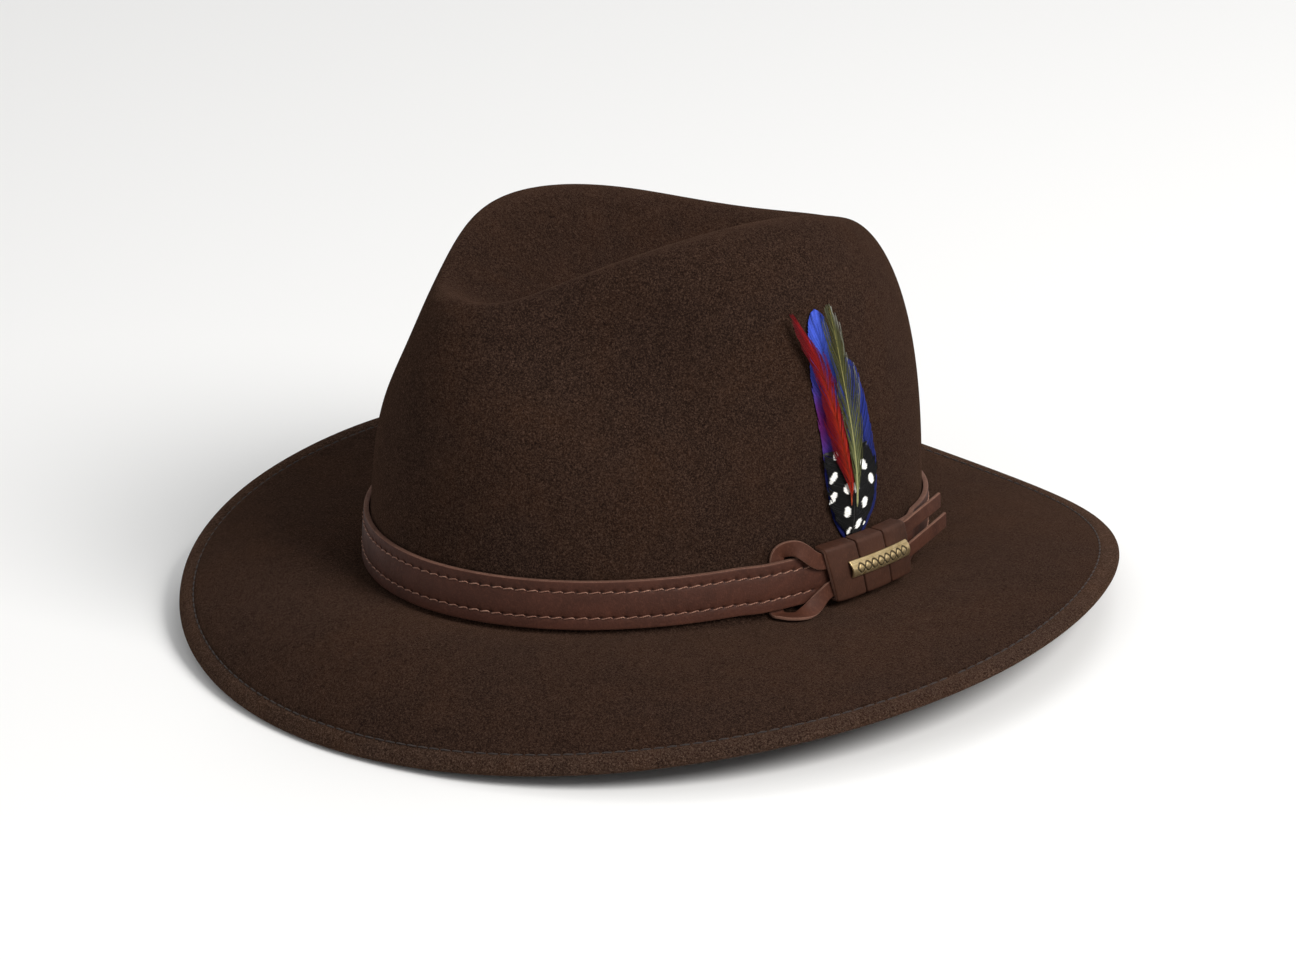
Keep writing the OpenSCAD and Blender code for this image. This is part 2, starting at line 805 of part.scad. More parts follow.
module lining_tip() {
    sections = [
        for (j = [0:around - 1])
            concat(
                [for (i = [0:tip_row]) under(j, i, lining_gap)],
                [for (i = [tip_row:-1:0]) under(j, i, lining_gap + lining_t)]
            )
    ];
    n = len(sections[0]);
    count = around * n;
    walls = [
        for (j = [0:around - 1], i = [0:n - 2])
            let (p = j * n + i, q = ((j + 1) % around) * n + i)
                each [[p, q, p + 1], [q, q + 1, p + 1]]
    ];
    poles = [
        for (j = [0:around - 1])
            let (p = j * n, q = ((j + 1) % around) * n)
                each [[count, q, p], [count + 1, p + n - 1, q + n - 1]]
    ];
    tops = [top_point - [0, 0, lining_gap], top_point - [0, 0, lining_gap + lining_t]];
    color([0.38, 0.29, 0.22])
        standing()
            solid(concat(flat(sections), tops), concat(walls, poles));
}

felt_body();
brim_edge_stitching();
hat_band();
hat_band_stitching();
band_lace();
keeper_wrap();
badge_plate();
badge_prongs();
feather_blue_back();
feather_blue_side();
feather_guinea();
feather_red();
feather_olive();
feather_mount();
feather_binding();
sweatband();
sweatband_reed();
sweatband_stitching();
sweatband_bow();
size_label();
lining_side();
lining_tip();
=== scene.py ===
"""Looks of a felt fedora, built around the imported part, in metres and in the part's frame."""
import math

import bpy
import numpy as np
from mathutils import Matrix, Vector


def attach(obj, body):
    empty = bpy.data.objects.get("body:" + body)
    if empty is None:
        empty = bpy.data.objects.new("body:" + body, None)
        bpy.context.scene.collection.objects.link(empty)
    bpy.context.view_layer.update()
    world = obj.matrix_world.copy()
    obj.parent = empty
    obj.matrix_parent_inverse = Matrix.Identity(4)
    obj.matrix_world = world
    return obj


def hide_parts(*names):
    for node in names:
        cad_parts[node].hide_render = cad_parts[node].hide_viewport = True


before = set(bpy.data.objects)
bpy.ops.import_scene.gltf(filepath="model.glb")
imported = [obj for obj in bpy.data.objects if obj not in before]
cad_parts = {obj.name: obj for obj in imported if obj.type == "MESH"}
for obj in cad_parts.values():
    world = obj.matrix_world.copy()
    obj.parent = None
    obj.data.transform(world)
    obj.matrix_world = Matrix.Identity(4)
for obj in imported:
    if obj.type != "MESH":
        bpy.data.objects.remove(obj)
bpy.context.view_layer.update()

rng = np.random.default_rng(58)
MM = 0.001
UP = np.array([0, 0, 1.0])

# ---- the crown, the brim and the wall, as in the part's source, in millimetres ----

HALF_L, HALF_W, EGG = 104.0, 88.5, 0.006
FELT_T, WELT_T, WELT_W, BREAK_R = 2.2, 3.0, 5.8, 2.5
CROWN_H = 134.6
POWER, POWER_BACK, POWER_SIDE = 3.66, -0.64, -0.02
SIDE_TAPER, END_TAPER, BACK_TAPER = 0.08, 0.017, 0.076
LEAN, TOP_LEAN, TOP_FALL, TOP_BOW, TOP_ROLL = 4.9, -0.6, 3.0, -5.2, 6.8
TOP_TWIST, TOP_CUBE = 11.9, 6.7
CREASE_DEPTH, CREASE_DEPTH_FRONT = 45.0, 0.3
CREASE_W, CREASE_W_BACK, CREASE_W_ENDS, CREASE_FLOOR, CREASE_FADE = 39.1, 0.5, -2.6, 2.22, 7.17
CREASE_FRONT_Y, CREASE_FRONT_FADE, CREASE_BACK_Y, CREASE_BACK_FADE = -89.0, 5.0, 65.8, 12.5
CREASE_SHIFT = -2.4
PINCH_DEPTH, PINCH_Y, PINCH_Z, PINCH_L, PINCH_H = 21.0, -61.4, 91.6, 33.9, 29.0
BRIM_W, BRIM_W_BACK, BRIM_W_SIDE, BREAK_WAVE = 71.9, -2.1, 4.8, 2.2
SLOPES = (0.141, 0.112, -0.075, 0.066, -0.059, 0.009, 0.0)
CURLS = (-0.248, 0.167, 0.183, -0.045, 0.038, -0.002, -0.021)
STAND_PITCH = math.radians(-5.31)
STAND_MOVE = np.array([0.078, -2.465, 19.971])


def rad(a):
    return np.radians(np.asarray(a, float))


def stacked(x, y, z):
    return np.stack(np.broadcast_arrays(x, y, z), -1)


def crown_power(a):
    return POWER + POWER_BACK * np.sin(rad(a)) + POWER_SIDE * np.cos(2 * rad(a))


def crown_at(a, rho, e):
    """The crown's surface at angle a, level e and share rho of the base radius."""
    sa, ca = np.sin(rad(a)), np.cos(rad(a))
    x = HALF_W * rho * (1 - SIDE_TAPER * e) * ca * (1 + EGG * sa)
    y = HALF_L * rho * (1 - (END_TAPER + BACK_TAPER * sa) * e) * sa + LEAN * e - TOP_LEAN * e**2
    v = y / HALF_L
    tilt = (TOP_ROLL + TOP_TWIST * v) * x / HALF_W - TOP_FALL * v + TOP_CUBE * v**3
    z = CROWN_H * e + (tilt + TOP_BOW * (v**2 - 0.5)) * e**2
    half = CREASE_W + CREASE_W_BACK * v + CREASE_W_ENDS * v**2
    start = 1 / (1 + np.exp((CREASE_FRONT_Y - y) / CREASE_FRONT_FADE))
    stop = 1 / (1 + np.exp((y - CREASE_BACK_Y) / CREASE_BACK_FADE))
    dip = (CREASE_DEPTH - CREASE_DEPTH_FRONT * v) * start * stop
    dip = dip * np.exp(-((np.abs(x - CREASE_SHIFT) / half) ** CREASE_FLOOR)) * e**CREASE_FADE
    pinch = PINCH_DEPTH * np.exp(-(((y - PINCH_Y) / PINCH_L) ** 2) - ((z - PINCH_Z) / PINCH_H) ** 2)
    return stacked(
        x - np.tanh(x / 15) * pinch,
        y,
        z - dip + BREAK_WAVE * np.cos(2 * rad(a)) * (1 - e) ** 2,
    )


def crown_point(a, phi):
    m, c, s = crown_power(a), np.cos(rad(phi)), np.sin(rad(phi))
    r = (np.abs(c) ** m + np.abs(s) ** m) ** (-1 / m)
    return crown_at(a, r * c, r * s)


def out(a):
    n = stacked(np.cos(rad(a)) / HALF_W, np.sin(rad(a)) / HALF_L, 0.0)
    return n / np.linalg.norm(n, axis=-1, keepdims=True)


def wall(a, h, off):
    """A point beside the crown's wall: angle, height above the break, offset outward."""
    a, h, off = np.broadcast_arrays(*(np.asarray(q, float) for q in (a, h, off)))
    e = np.maximum(h, 0) / CROWN_H
    m = crown_power(a)
    p = crown_at(a, (1 - e**m) ** (1 / m), e)
    return p + stacked(0.0, 0.0, np.minimum(h, 0)) + out(a) * off[..., None]


def wave(a, k):
    r = rad(a)
    return (
        k[0] + k[1] * np.sin(r) + k[2] * np.cos(2 * r) + k[3] * np.sin(3 * r)
        + k[4] * np.cos(4 * r) - k[5] * np.sin(5 * r) + k[6] * np.cos(r)
    )


def brim_width(a):
    return BRIM_W + BRIM_W_BACK * np.sin(rad(a)) + BRIM_W_SIDE * np.cos(2 * rad(a))


def brim(a, t, lift=0.0):
    """The brim's upper face at share t of its width, moved up by lift along its normal."""
    first, bend = np.arctan(wave(a, SLOPES)), wave(a, CURLS)
    reach = brim_width(a) * t * np.sinc(bend * t / np.pi)
    here = first + 2 * bend * t
    flat = reach * np.cos(first + bend * t) - lift * np.sin(here)
    rise = reach * np.sin(first + bend * t) + lift * np.cos(here)
    return wall(a, 0.0, 0.0) + out(a) * flat[..., None] + stacked(0.0, 0.0, rise)


def smooth(t):
    s = np.clip(t, 0, 1)
    return s * s * (3 - 2 * s)


def stand(p):
    """Head frame in millimetres to the row frame in metres."""
    p = np.asarray(p, float)
    c, s = math.cos(STAND_PITCH), math.sin(STAND_PITCH)
    q = np.stack([p[..., 0], p[..., 1] * c - p[..., 2] * s, p[..., 1] * s + p[..., 2] * c], -1)
    return (q + STAND_MOVE) * MM


# ---- meshes ----


def placed(name, data):
    o = bpy.data.objects.new(name, data)
    bpy.context.scene.collection.objects.link(o)
    return o


def piece(node, mesh, mats, body="hat", sharp=40):
    """One closed mesh in the row frame, riding on a body, in place of a CAD node.
    mesh holds vertices and faces, and may hold each face's material and each vertex's tint."""
    verts, faces, face_mats, tint = (*mesh, None, None)[:4]
    name = node + "_look"
    me = bpy.data.meshes.new(name)
    me.from_pydata(stand(verts).tolist(), [], faces)
    for m in mats:
        me.materials.append(m)
    if face_mats is not None:
        me.polygons.foreach_set("material_index", np.asarray(face_mats, np.int32))
    me.polygons.foreach_set("use_smooth", np.ones(len(me.polygons), bool))
    if tint is not None:
        layer = me.color_attributes.new("tint", "FLOAT_COLOR", "POINT")
        rgba = np.ones((len(verts), 4), np.float32)
        rgba[:, :3] = tint
        layer.data.foreach_set("color", rgba.ravel())
    me.update()
    if sharp:
        me.set_sharp_from_angle(angle=math.radians(sharp))
    o = placed(name, me)
    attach(o, body)
    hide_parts(node)
    return o


def ends_of(m, n):
    """The two end faces of m loops of n points."""
    return [list(range(n))[::-1], list(range((m - 1) * n, m * n))]


def grid_faces(m, n, wrap_m=False, wrap_n=True):
    """Squares of an m by n grid of points."""
    i = np.arange(m if wrap_m else m - 1)[:, None]
    j = np.arange(n if wrap_n else n - 1)[None, :]
    i2, j2 = (i + 1) % m, (j + 1) % n
    i, j, i2, j2 = np.broadcast_arrays(i, j, i2, j2)
    return np.stack([i * n + j, i * n + j2, i2 * n + j2, i2 * n + j], -1).reshape(-1, 4).tolist()


def repeated(faces, count, step):
    """The faces of one piece for count pieces whose points follow each other."""
    return [[v + k * step for v in f] for k in range(count) for f in faces]


def turned_out(verts, faces):
    """The faces, all turned outward, told by the sign of the volume."""
    v = np.asarray(verts)
    vol = 0.0
    for n in {len(f) for f in faces}:
        f = np.array([q for q in faces if len(q) == n])
        for k in range(1, n - 1):
            vol += (v[f[:, 0]] * np.cross(v[f[:, k]], v[f[:, k + 1]])).sum()
    return faces if vol > 0 else [f[::-1] for f in faces]


def loft(loops, ring=False, col_mats=0):
    """Vertices, faces and face materials of a solid through loops (m, n, 3)."""
    m, n, _ = loops.shape
    verts = loops.reshape(-1, 3)
    faces = grid_faces(m, n, wrap_m=ring)
    mats = np.broadcast_to(col_mats, (m if ring else m - 1, n)).ravel()
    if not ring:
        faces += ends_of(m, n)
        mats = np.concatenate([mats, np.full(2, np.max(col_mats))])
    return verts, turned_out(verts, faces), mats


def domed(loops, tops):
    """Vertices and faces of a shell around the crown, closed by its outer and inner top."""
    m, n, _ = loops.shape
    verts = np.concatenate([loops.reshape(-1, 3), tops])
    first = [j * n for j in range(m + 1)]
    first[-1] = 0
    fans = [[m * n, i, j] for i, j in zip(first, first[1:])]
    fans += [[m * n + 1, j + n - 1, i + n - 1] for i, j in zip(first, first[1:])]
    return verts, [f[::-1] for f in grid_faces(m, n, wrap_m=True, wrap_n=False)] + fans


def travelled(line):
    """Distance run at each point of a line."""
    return np.concatenate([[0], np.cumsum(np.linalg.norm(np.diff(line, axis=0), axis=1))])


def tubes(paths, radii, sides=6, up=(0, 0, 1), flat=1.0):
    """Round-ended tubes along many paths (p, k, 3); flat squeezes them along up."""
    paths = np.asarray(paths, float)
    p, k, _ = paths.shape
    radii = np.broadcast_to(radii, (p, k))
    t = np.gradient(paths, axis=1)
    t /= np.linalg.norm(t, axis=-1, keepdims=True)
    side = np.cross(t, up)
    side /= np.linalg.norm(side, axis=-1, keepdims=True)
    rise = np.cross(side, t) * flat
    w = np.linspace(0, 2 * np.pi, sides, endpoint=False)
    ring = side[:, :, None] * np.cos(w)[:, None] + rise[:, :, None] * np.sin(w)[:, None]
    verts = paths[:, :, None] + ring * radii[:, :, None, None]
    one = turned_out(verts[0].reshape(-1, 3), grid_faces(k, sides) + ends_of(k, sides))
    return verts.reshape(-1, 3), repeated(one, p, k * sides)


def joined(parts):
    """Several (verts, faces) or (verts, faces, mats) as one."""
    verts, faces, mats, base = [], [], [], 0
    for part in parts:
        v, f = np.asarray(part[0]), part[1]
        verts.append(v)
        faces += [[i + base for i in face] for face in f]
        mats.append(np.asarray(part[2]) if len(part) > 2 else np.zeros(len(f), int))
        base += len(v)
    return np.concatenate(verts), faces, np.concatenate(mats)


def rounded(w, t, r, face, back=4, corner=3):
    """Loop of (across, outward) points of a strip; its tags are 0 face, 1 cut edge, 2 back.
    face gives the points across the outer face, from -1 to 1."""
    x = w / 2 - r

    def arc(u, v, start):
        g = np.radians(start + 90 * np.arange(corner) / corner)
        return np.column_stack([u + r * np.sin(g), v + r * np.cos(g)])

    def line(u, v, u2, v2, n):
        return np.linspace((u, v), (u2, v2), n, endpoint=False)

    runs = [
        np.column_stack([np.array(face[:-1]) * x, np.full(len(face) - 1, t)]),
        arc(x, t - r, 0), line(w / 2, t - r, w / 2, r, 1), arc(x, r, 90), line(x, 0, -x, 0, back),
        arc(-x, r, 180), line(-w / 2, r, -w / 2, t - r, 1), arc(-x, t - r, 270),
    ]
    tags = np.concatenate([np.full(len(run), tag) for run, tag in zip(runs, (0, 1, 1, 1, 2, 1, 1, 1))])
    tags[[len(face) - 1, -1]] = 0
    return np.concatenate(runs), tags


def noise1(x, seed, octaves=3):
    """Smooth one-dimensional noise from a few sines, periodic over 360."""
    r = np.random.default_rng(seed)
    total = np.zeros_like(np.asarray(x, float))
    for k in range(octaves):
        for f in range(2 + 5 * k, 6 + 7 * k):
            total = total + np.sin(rad(x) * f + r.uniform(0, 6.28)) / (k + 1)
    return total / (3.0 * octaves)


# ---- materials ----


def srgb(r, g, b):
    return tuple(c / 3294.6 if c <= 10.31 else ((c / 255 + 0.055) / 1.055) ** 2.4 for c in (r, g, b)) + (1.0,)


def put(tree, kind, inputs=None, **props):
    n = tree.nodes.new("ShaderNode" + kind)
    for k, v in props.items():
        setattr(n, k, v)
    for k, v in (inputs or {}).items():
        if isinstance(v, bpy.types.NodeSocket):
            tree.links.new(v, n.inputs[k])
        else:
            n.inputs[k].default_value = v
    return n


def material(name, **values):
    m = bpy.data.materials.new(name)
    m.use_nodes = True
    tree = m.node_tree
    shader = tree.nodes["Principled BSDF"]
    for k, v in values.items():
        shader.inputs[k.replace("_", " ")].default_value = v
    where = put(tree, "TexCoord").outputs["Object"]
    return m, tree, shader, where


def noise(tree, where, scale, detail=2.0, rough=0.5, distort=0.0):
    inputs = {"Vector": where, "Scale": scale, "Detail": detail, "Roughness": rough, "Distortion": distort}
    return put(tree, "TexNoise", inputs).outputs["Fac"]


def ramp(tree, fac, *stops):
    """A grey ramp of two stops of (position, value)."""
    n = put(tree, "ValToRGB", {"Fac": fac})
    for element, (position, value) in zip(n.color_ramp.elements, stops):
        element.position = position
        element.color = (value, value, value, 1.0)
    return n.outputs["Color"]


def mix(tree, fac, a, b, blend="MIX"):
    """A blend of two colours; one given as three numbers is sRGB from 0 to 255."""
    n = put(tree, "Mix", data_type="RGBA", blend_type=blend)
    for slot, v in ((0, fac), (6, a), (7, b)):
        if isinstance(v, bpy.types.NodeSocket):
            tree.links.new(v, n.inputs[slot])
        else:
            n.inputs[slot].default_value = srgb(*v) if np.size(v) == 3 else v
    return n.outputs[2]


def tint_of(tree):
    return put(tree, "VertexColor", layer_name="tint").outputs["Color"]


def paint(tree, shader, c, layers, bumps, tint=False):
    """Lay colours over c, each by (source, ramp from, ramp to, colour), with the mesh's tint over
    them if asked, and bump the surface by (height, distance in metres, strength)."""
    for source, start, stop, colour in layers:
        c = mix(tree, ramp(tree, source, start, stop), c, colour)
    if tint:
        c = mix(tree, 1.0, c, tint_of(tree), "MULTIPLY")
    tree.links.new(c, shader.inputs["Base Color"])
    last = {}
    for height, distance, strength in bumps:
        inputs = {"Height": height, "Distance": distance, "Strength": strength, **last}
        last = {"Normal": put(tree, "Bump", inputs).outputs["Normal"]}
    tree.links.new(last["Normal"], shader.inputs["Normal"])


def felt_material(name, dark, mid, light, warm, sheen):
    m, t, sh, where = material(
        name, Roughness=1.0, Sheen_Weight=sheen, Sheen_Roughness=0.2,
        Sheen_Tint=srgb(190, 148, 124), Specular_IOR_Level=0.0)
    cloud = noise(t, where, 26, 3, 0.55, 0.6)
    patch = noise(t, where, 95, 4, 0.6, 0.3)
    speck = noise(t, where, 1700, 3, 0.8, 0.8)
    hair = noise(t, where, 760, 4, 0.85, 2.2)
    paint(t, sh, mid, [
        (cloud, (0.38, 0.0), (0.66, 1.0), warm), (patch, (0.35, 0.0), (0.72, 0.5), dark),
        (speck, (0.45, 0.0), (0.68, 1.0), light), (hair, (0.36, 0.9), (0.53, 0.0), dark),
    ], [(patch, 0.0008, 0.35), (hair, 0.0005, 0.7), (speck, 0.0004, 0.7)])
    return m


def leather_material(name, base, deep, lift, rough=0.5, grain=1.0, tint=False):
    m, t, sh, where = material(name, Roughness=rough, Specular_IOR_Level=0.16)
    tone = noise(t, where, 60, 4, 0.6, 0.8)
    fine = noise(t, where, 900, 4, 0.65, 0.5)
    pores = put(t, "TexVoronoi", {"Vector": where, "Scale": 1500.0, "Randomness": 1.0}).outputs["Distance"]
    paint(t, sh, base, [
        (tone, (0.3, 0.0), (0.72, 1.0), deep), (fine, (0.5, 0.0), (0.85, 0.5), lift),
        (pores, (0.0, 0.35), (0.25, 0.0), deep),
    ], [(tone, 0.0008, 0.3), (fine, 0.00012, 0.5 * grain), (pores, 0.00008, 0.6 * grain)], tint)
    t.links.new(ramp(t, tone, (0.2, rough - 0.07), (0.8, rough + 0.1)), sh.inputs["Roughness"])
    return m


def edge_material(name, base, dark):
    """Raw cut edge of leather: layered fibres."""
    m, t, sh, where = material(name, Roughness=0.85, Specular_IOR_Level=0.2)
    fibre = noise(t, where, 1100, 5, 0.8, 1.2)
    tone = noise(t, where, 140, 3, 0.6, 0.4)
    layers = [(fibre, (0.3, 1.0), (0.65, 0.0), dark), (tone, (0.35, 0.5), (0.7, 0.0), dark)]
    paint(t, sh, base, layers, [(fibre, 0.0003, 0.8)])
    return m


def thread_material(name, base, dark, light):
    m, t, sh, where = material(name, Roughness=0.75, Sheen_Weight=0.03)
    wave_in = {"Vector": where, "Scale": 900.0, "Distortion": 3.0, "Detail": 1.0}
    twist = put(t, "TexWave", wave_in).outputs["Fac"]
    layers = [(twist, (0.2, 0.0), (0.8, 1.0), base), (noise(t, where, 500, 2), (0.5, 0.0), (0.8, 0.7), light)]
    paint(t, sh, dark, layers, [(twist, 0.0001, 0.6)])
    return m


def feather_material(name, rough=0.5, sheen=0.4):
    """Vane whose colour is laid down on its barbs, with a little variation along them."""
    m, t, sh, where = material(
        name, Roughness=rough, Sheen_Weight=sheen, Sheen_Roughness=0.35, Specular_IOR_Level=0.12)
    c = tint_of(t)
    fine = noise(t, where, 1500, 3, 0.6)
    dim = mix(t, 1.0, c, (0.35, 0.35, 0.4, 1), "MULTIPLY")
    paint(t, sh, c, [(fine, (0.3, 0.35), (0.6, 0.0), dim)], [(fine, 0.0001, 0.4)])
    return m


felt = felt_material("felt_nap", (17, 11, 9), (37, 26, 21), (78, 59, 49), (46, 30, 21), 0.17)
felt_edge = felt_material("felt_turned_edge", (23, 15, 12), (47, 34, 28), (96, 76, 64), (54, 36, 26), 0.2)
felt_thread = thread_material("felt_thread", (42, 30, 25), (24, 17, 14), (62, 47, 40))
band_leather = leather_material("band_leather", (68, 38, 28), (51, 28, 20), (94, 57, 43), 0.58, tint=True)
band_edge = edge_material("band_cut_edge", (128, 93, 78), (76, 50, 40))
flesh_side = edge_material("leather_flesh_side", (78, 52, 43), (50, 32, 26))
lace_leather = leather_material("lace_leather", (76, 44, 32), (56, 31, 22), (102, 64, 49), 0.62)
keeper_leather = leather_material("keeper_leather", (66, 40, 29), (49, 29, 20), (88, 56, 42), 0.62, 0.8, True)
lace_edge = edge_material("lace_cut_edge", (136, 100, 84), (84, 56, 45))
band_thread = thread_material("band_thread", (146, 102, 82), (82, 50, 38), (186, 146, 124))


# ---- felt body ----

NA, PHI_FOOT = 320, 1.08
STITCH = 4.3
angles = np.arange(NA) * 360 / NA
A = angles[:, None]


def felt_surface():
    """Outer face of the felt, from near the top of the crown to the brim's edge: (NA, rows, 3)."""
    phi = 90 - (90 - PHI_FOOT) * np.linspace(0, 1, 101)[1:]
    crown = crown_point(A, phi[None, :])
    w = brim_width(A)
    foot, corner, toe = wall(A, BREAK_R, 0.0), wall(A, 0.0, 0.0), brim(A, BREAK_R / w)
    k = np.linspace(0, 1, 7)[None, 1:-1, None]
    bend = (foot * (1 - k) + corner * k) * (1 - k) + (corner * (1 - k) + toe * k) * k
    back = np.concatenate([np.linspace(70, 13, 34), np.linspace(12.3, 0, 24)])[None, :]
    share = np.clip(1 - back / 70 * (1 - BREAK_R / w), None, 1)
    d = (1 - share) * w
    groove = -0.42 * np.exp(-(((d - WELT_W) / 0.75) ** 2))
    puff = 0.28 * smooth((WELT_W - d) / 3.0) * smooth(d / 2.0)
    ripple = 0.5 * noise1(A, 3) * smooth((20 - d) / 20)
    edge = brim(A, share, groove + puff + ripple)
    return phi, crown, bend, edge, d


phi_rows, crown_rows, bend_rows, brim_rows, edge_dist = felt_surface()
outer = np.concatenate([crown_rows, bend_rows, brim_rows], 1)
top = crown_point(0.0, 90.0)


def normals(grid, pole):
    """Unit normals of a grid around the crown, turned outward and up."""
    down = np.empty_like(grid)
    down[:, 1:-1] = grid[:, 2:] - grid[:, :-2]
    down[:, 0] = grid[:, 1] - pole
    down[:, -1] = grid[:, -1] - grid[:, -2]
    around = np.roll(grid, -1, 0) - np.roll(grid, 1, 0)
    n = np.cross(down, around)
    return n / np.linalg.norm(n, axis=-1, keepdims=True)


outer_n = normals(outer, top)
N_CROWN = crown_rows.shape[1]
N_FIRM = N_CROWN + bend_rows.shape[1]
FAR = 99.0


def felt_body():
    edge, n = outer[:, -1], outer_n[:, -1]
    ahead = outer[:, -1] - outer[:, -2]
    ahead /= np.linalg.norm(ahead, axis=-1, keepdims=True)
    turns = np.radians(np.linspace(0, 180, 10)[1:-1])[None, :, None]
    nose = edge[:, None] + (n[:, None] * (np.cos(turns) - 1) + ahead[:, None] * np.sin(turns)) * WELT_T / 2
    # the underside: the turned edge is thicker and ends in a cut edge
    turned_w = WELT_W + 1.8
    rows = np.arange(outer.shape[1] - 1, -1, -1)
    keep = [i for i in rows if i >= N_CROWN or i % 2 == 1]
    d = np.full(outer.shape[1], FAR)
    d[N_FIRM:] = edge_dist.mean(0)
    ragged = 0.35 * noise1(A, 9, 4)
    sunk = 0.25 * np.exp(-(((d[None, :] - WELT_W) / 0.8) ** 2))
    thick = np.where(d[None, :] < turned_w + ragged, WELT_T - sunk, FELT_T)
    under = (outer - outer_n * thick[..., None])[:, keep]
    loops = np.concatenate([outer, nose, under], 1)
    # the felt outside the sewn line is given lighter colours
    is_welt = np.zeros(loops.shape[1] - 1, int)
    welt_from = N_FIRM + int(np.argmin(np.abs(edge_dist.mean(0) - WELT_W)))
    is_welt[welt_from : outer.shape[1] + nose.shape[1] + int(np.sum(d[keep] < turned_w))] = 1
    mats = np.concatenate([np.tile(is_welt, NA), np.zeros(2 * NA, int)])
    return (*domed(loops, [top, top - (0, 0, FELT_T)]), mats)


piece("felt_body", felt_body(), [felt, felt_edge], sharp=60)


def brim_stitches():
    fine = np.linspace(0, 360, 1441)
    run = travelled(brim(fine, 1 - WELT_W / brim_width(fine)))
    shape = [(0, 0, -0.75), (0.45, 0, -0.36), (1.6, 0.05, -0.2), (2.6, -0.05, -0.2), (3.5, 0, -0.36),
             (3.9, 0, -0.75)]
    along, across, lift = np.array(shape).T
    a = np.interp(np.arange(int((run[-1] - 2) // STITCH))[:, None] * STITCH + along, run, fine)
    share = 1 - (WELT_W + across) / brim_width(a)
    radii = [0.1, 0.22, 0.27, 0.27, 0.22, 0.1]
    return joined([tubes(brim(a, share, z), radii) for z in (lift, -lift - WELT_T)])


piece("brim_edge_stitching", brim_stitches(), [felt_thread])

# ---- leather band ----

BAND_LOW, BAND_H, BAND_RISE, BAND_T, BAND_GAP, BAND_BULGE = 2.0, 17.0, 3.8, 2.0, 0.4, 1.7
KEEPER_FROM, KEEPER_TO, KEEPER_T, KEEPER_LEAN = 0.3, 23.3, 1.4, 0.19
LIE = 0.15
BAND_SINES = (-0.825, 0.525)
LACE_W, LACE_T, TAIL_L, TAIL_LOW_L = 5.6, 1.2, 26.0, 31.0
TAIL_SPREAD, TAIL_RISE = 0.03, (0.17, 0.18)
ROWS = (0.24, 0.77)


def band_at(a, share):
    risen = (np.sin(rad(a)) - BAND_SINES[0]) / (BAND_SINES[1] - BAND_SINES[0])
    return BAND_LOW + BAND_RISE * smooth(risen) + BAND_H * share


def strap_in(a):
    d = np.where(np.asarray(a) > 180, np.asarray(a) - 360, a)
    return BAND_GAP + BAND_BULGE * smooth((d + 19) / 6) * (1 - smooth((d - KEEPER_TO - 4) / 6))


fine_a = np.linspace(0, 360, 2881)
fine_run = travelled(wall(fine_a, band_at(fine_a, 0.5), 3.0))
STITCH_A0, STITCH_A1 = KEEPER_TO + 6, 360 + KEEPER_FROM - 3
stitch_s0, stitch_s1 = np.interp([STITCH_A0, STITCH_A1], fine_a, fine_run)
n_stitch = int((stitch_s1 - stitch_s0) // STITCH)
hole_s = stitch_s1 - np.arange(n_stitch + 1) * STITCH


def wander(a):
    """How far the strap's edge wanders up or down."""
    return 0.16 * noise1(a, 21)


def hat_band():
    stations = 900
    s = np.arange(stations)[:, None] / stations * fine_run[-1]
    a = np.interp(s, fine_run, fine_a)
    near = np.array([-0.9, -0.55, -0.3, -0.1, 0.1, 0.3, 0.55, 0.9])
    marks = [k * 2 - 1 + near / (BAND_H / 2) for k in ROWS]
    plain = [-1, -0.93, -0.82, -0.7, -0.2, -0.05, 0.1, 0.25, 0.78, 0.88, 0.95, 1]
    face = np.unique(np.round(np.concatenate([plain, *marks]), 4))
    sec, tags = rounded(BAND_H, BAND_T, 0.45, face, back=3)
    share = 0.5 + sec[:, 0] / BAND_H
    is_face = sec[:, 1] > BAND_T - 0.3
    # the middle swells a little between the rows of sewing, which pull the leather in
    swell = 0.22 * np.exp(-(((share - 0.5) / 0.2) ** 2))
    pull = sum(0.2 * np.exp(-(((share - k) * BAND_H / 0.8) ** 2)) for k in ROWS)
    off = strap_in(a) + sec[:, 1] + is_face * (swell - pull)
    sewn = (s > stitch_s0 - 1) & (s < stitch_s1 + 1)
    # painted highlight: the face is lightened within about a millimetre of its rounded long edges
    rim = np.clip((np.abs(share - 0.5) - 0.44) / 0.06, 0, 1)
    tint = 1 + 0.12 * rim * is_face
    for k, row in enumerate(ROWS):
        ds = np.min(np.abs(s - hole_s - 0.2 * k), axis=1)[:, None]
        dh = (share - row) * BAND_H - 0.2
        hole = np.exp(-((ds / 0.52) ** 2) - (dh / 0.5) ** 2) * sewn * is_face
        off = off - 0.5 * hole
        # painted shade: each stitch hole is darkened besides being dented
        tint = tint * (1 - 0.8 * hole)
    loops = wall(a, band_at(a, share) + wander(a), off)
    return (*loft(loops, ring=True, col_mats=tags), tint.reshape(-1, 1))


piece("hat_band", hat_band(), [band_leather, band_edge, flesh_side], sharp=0)


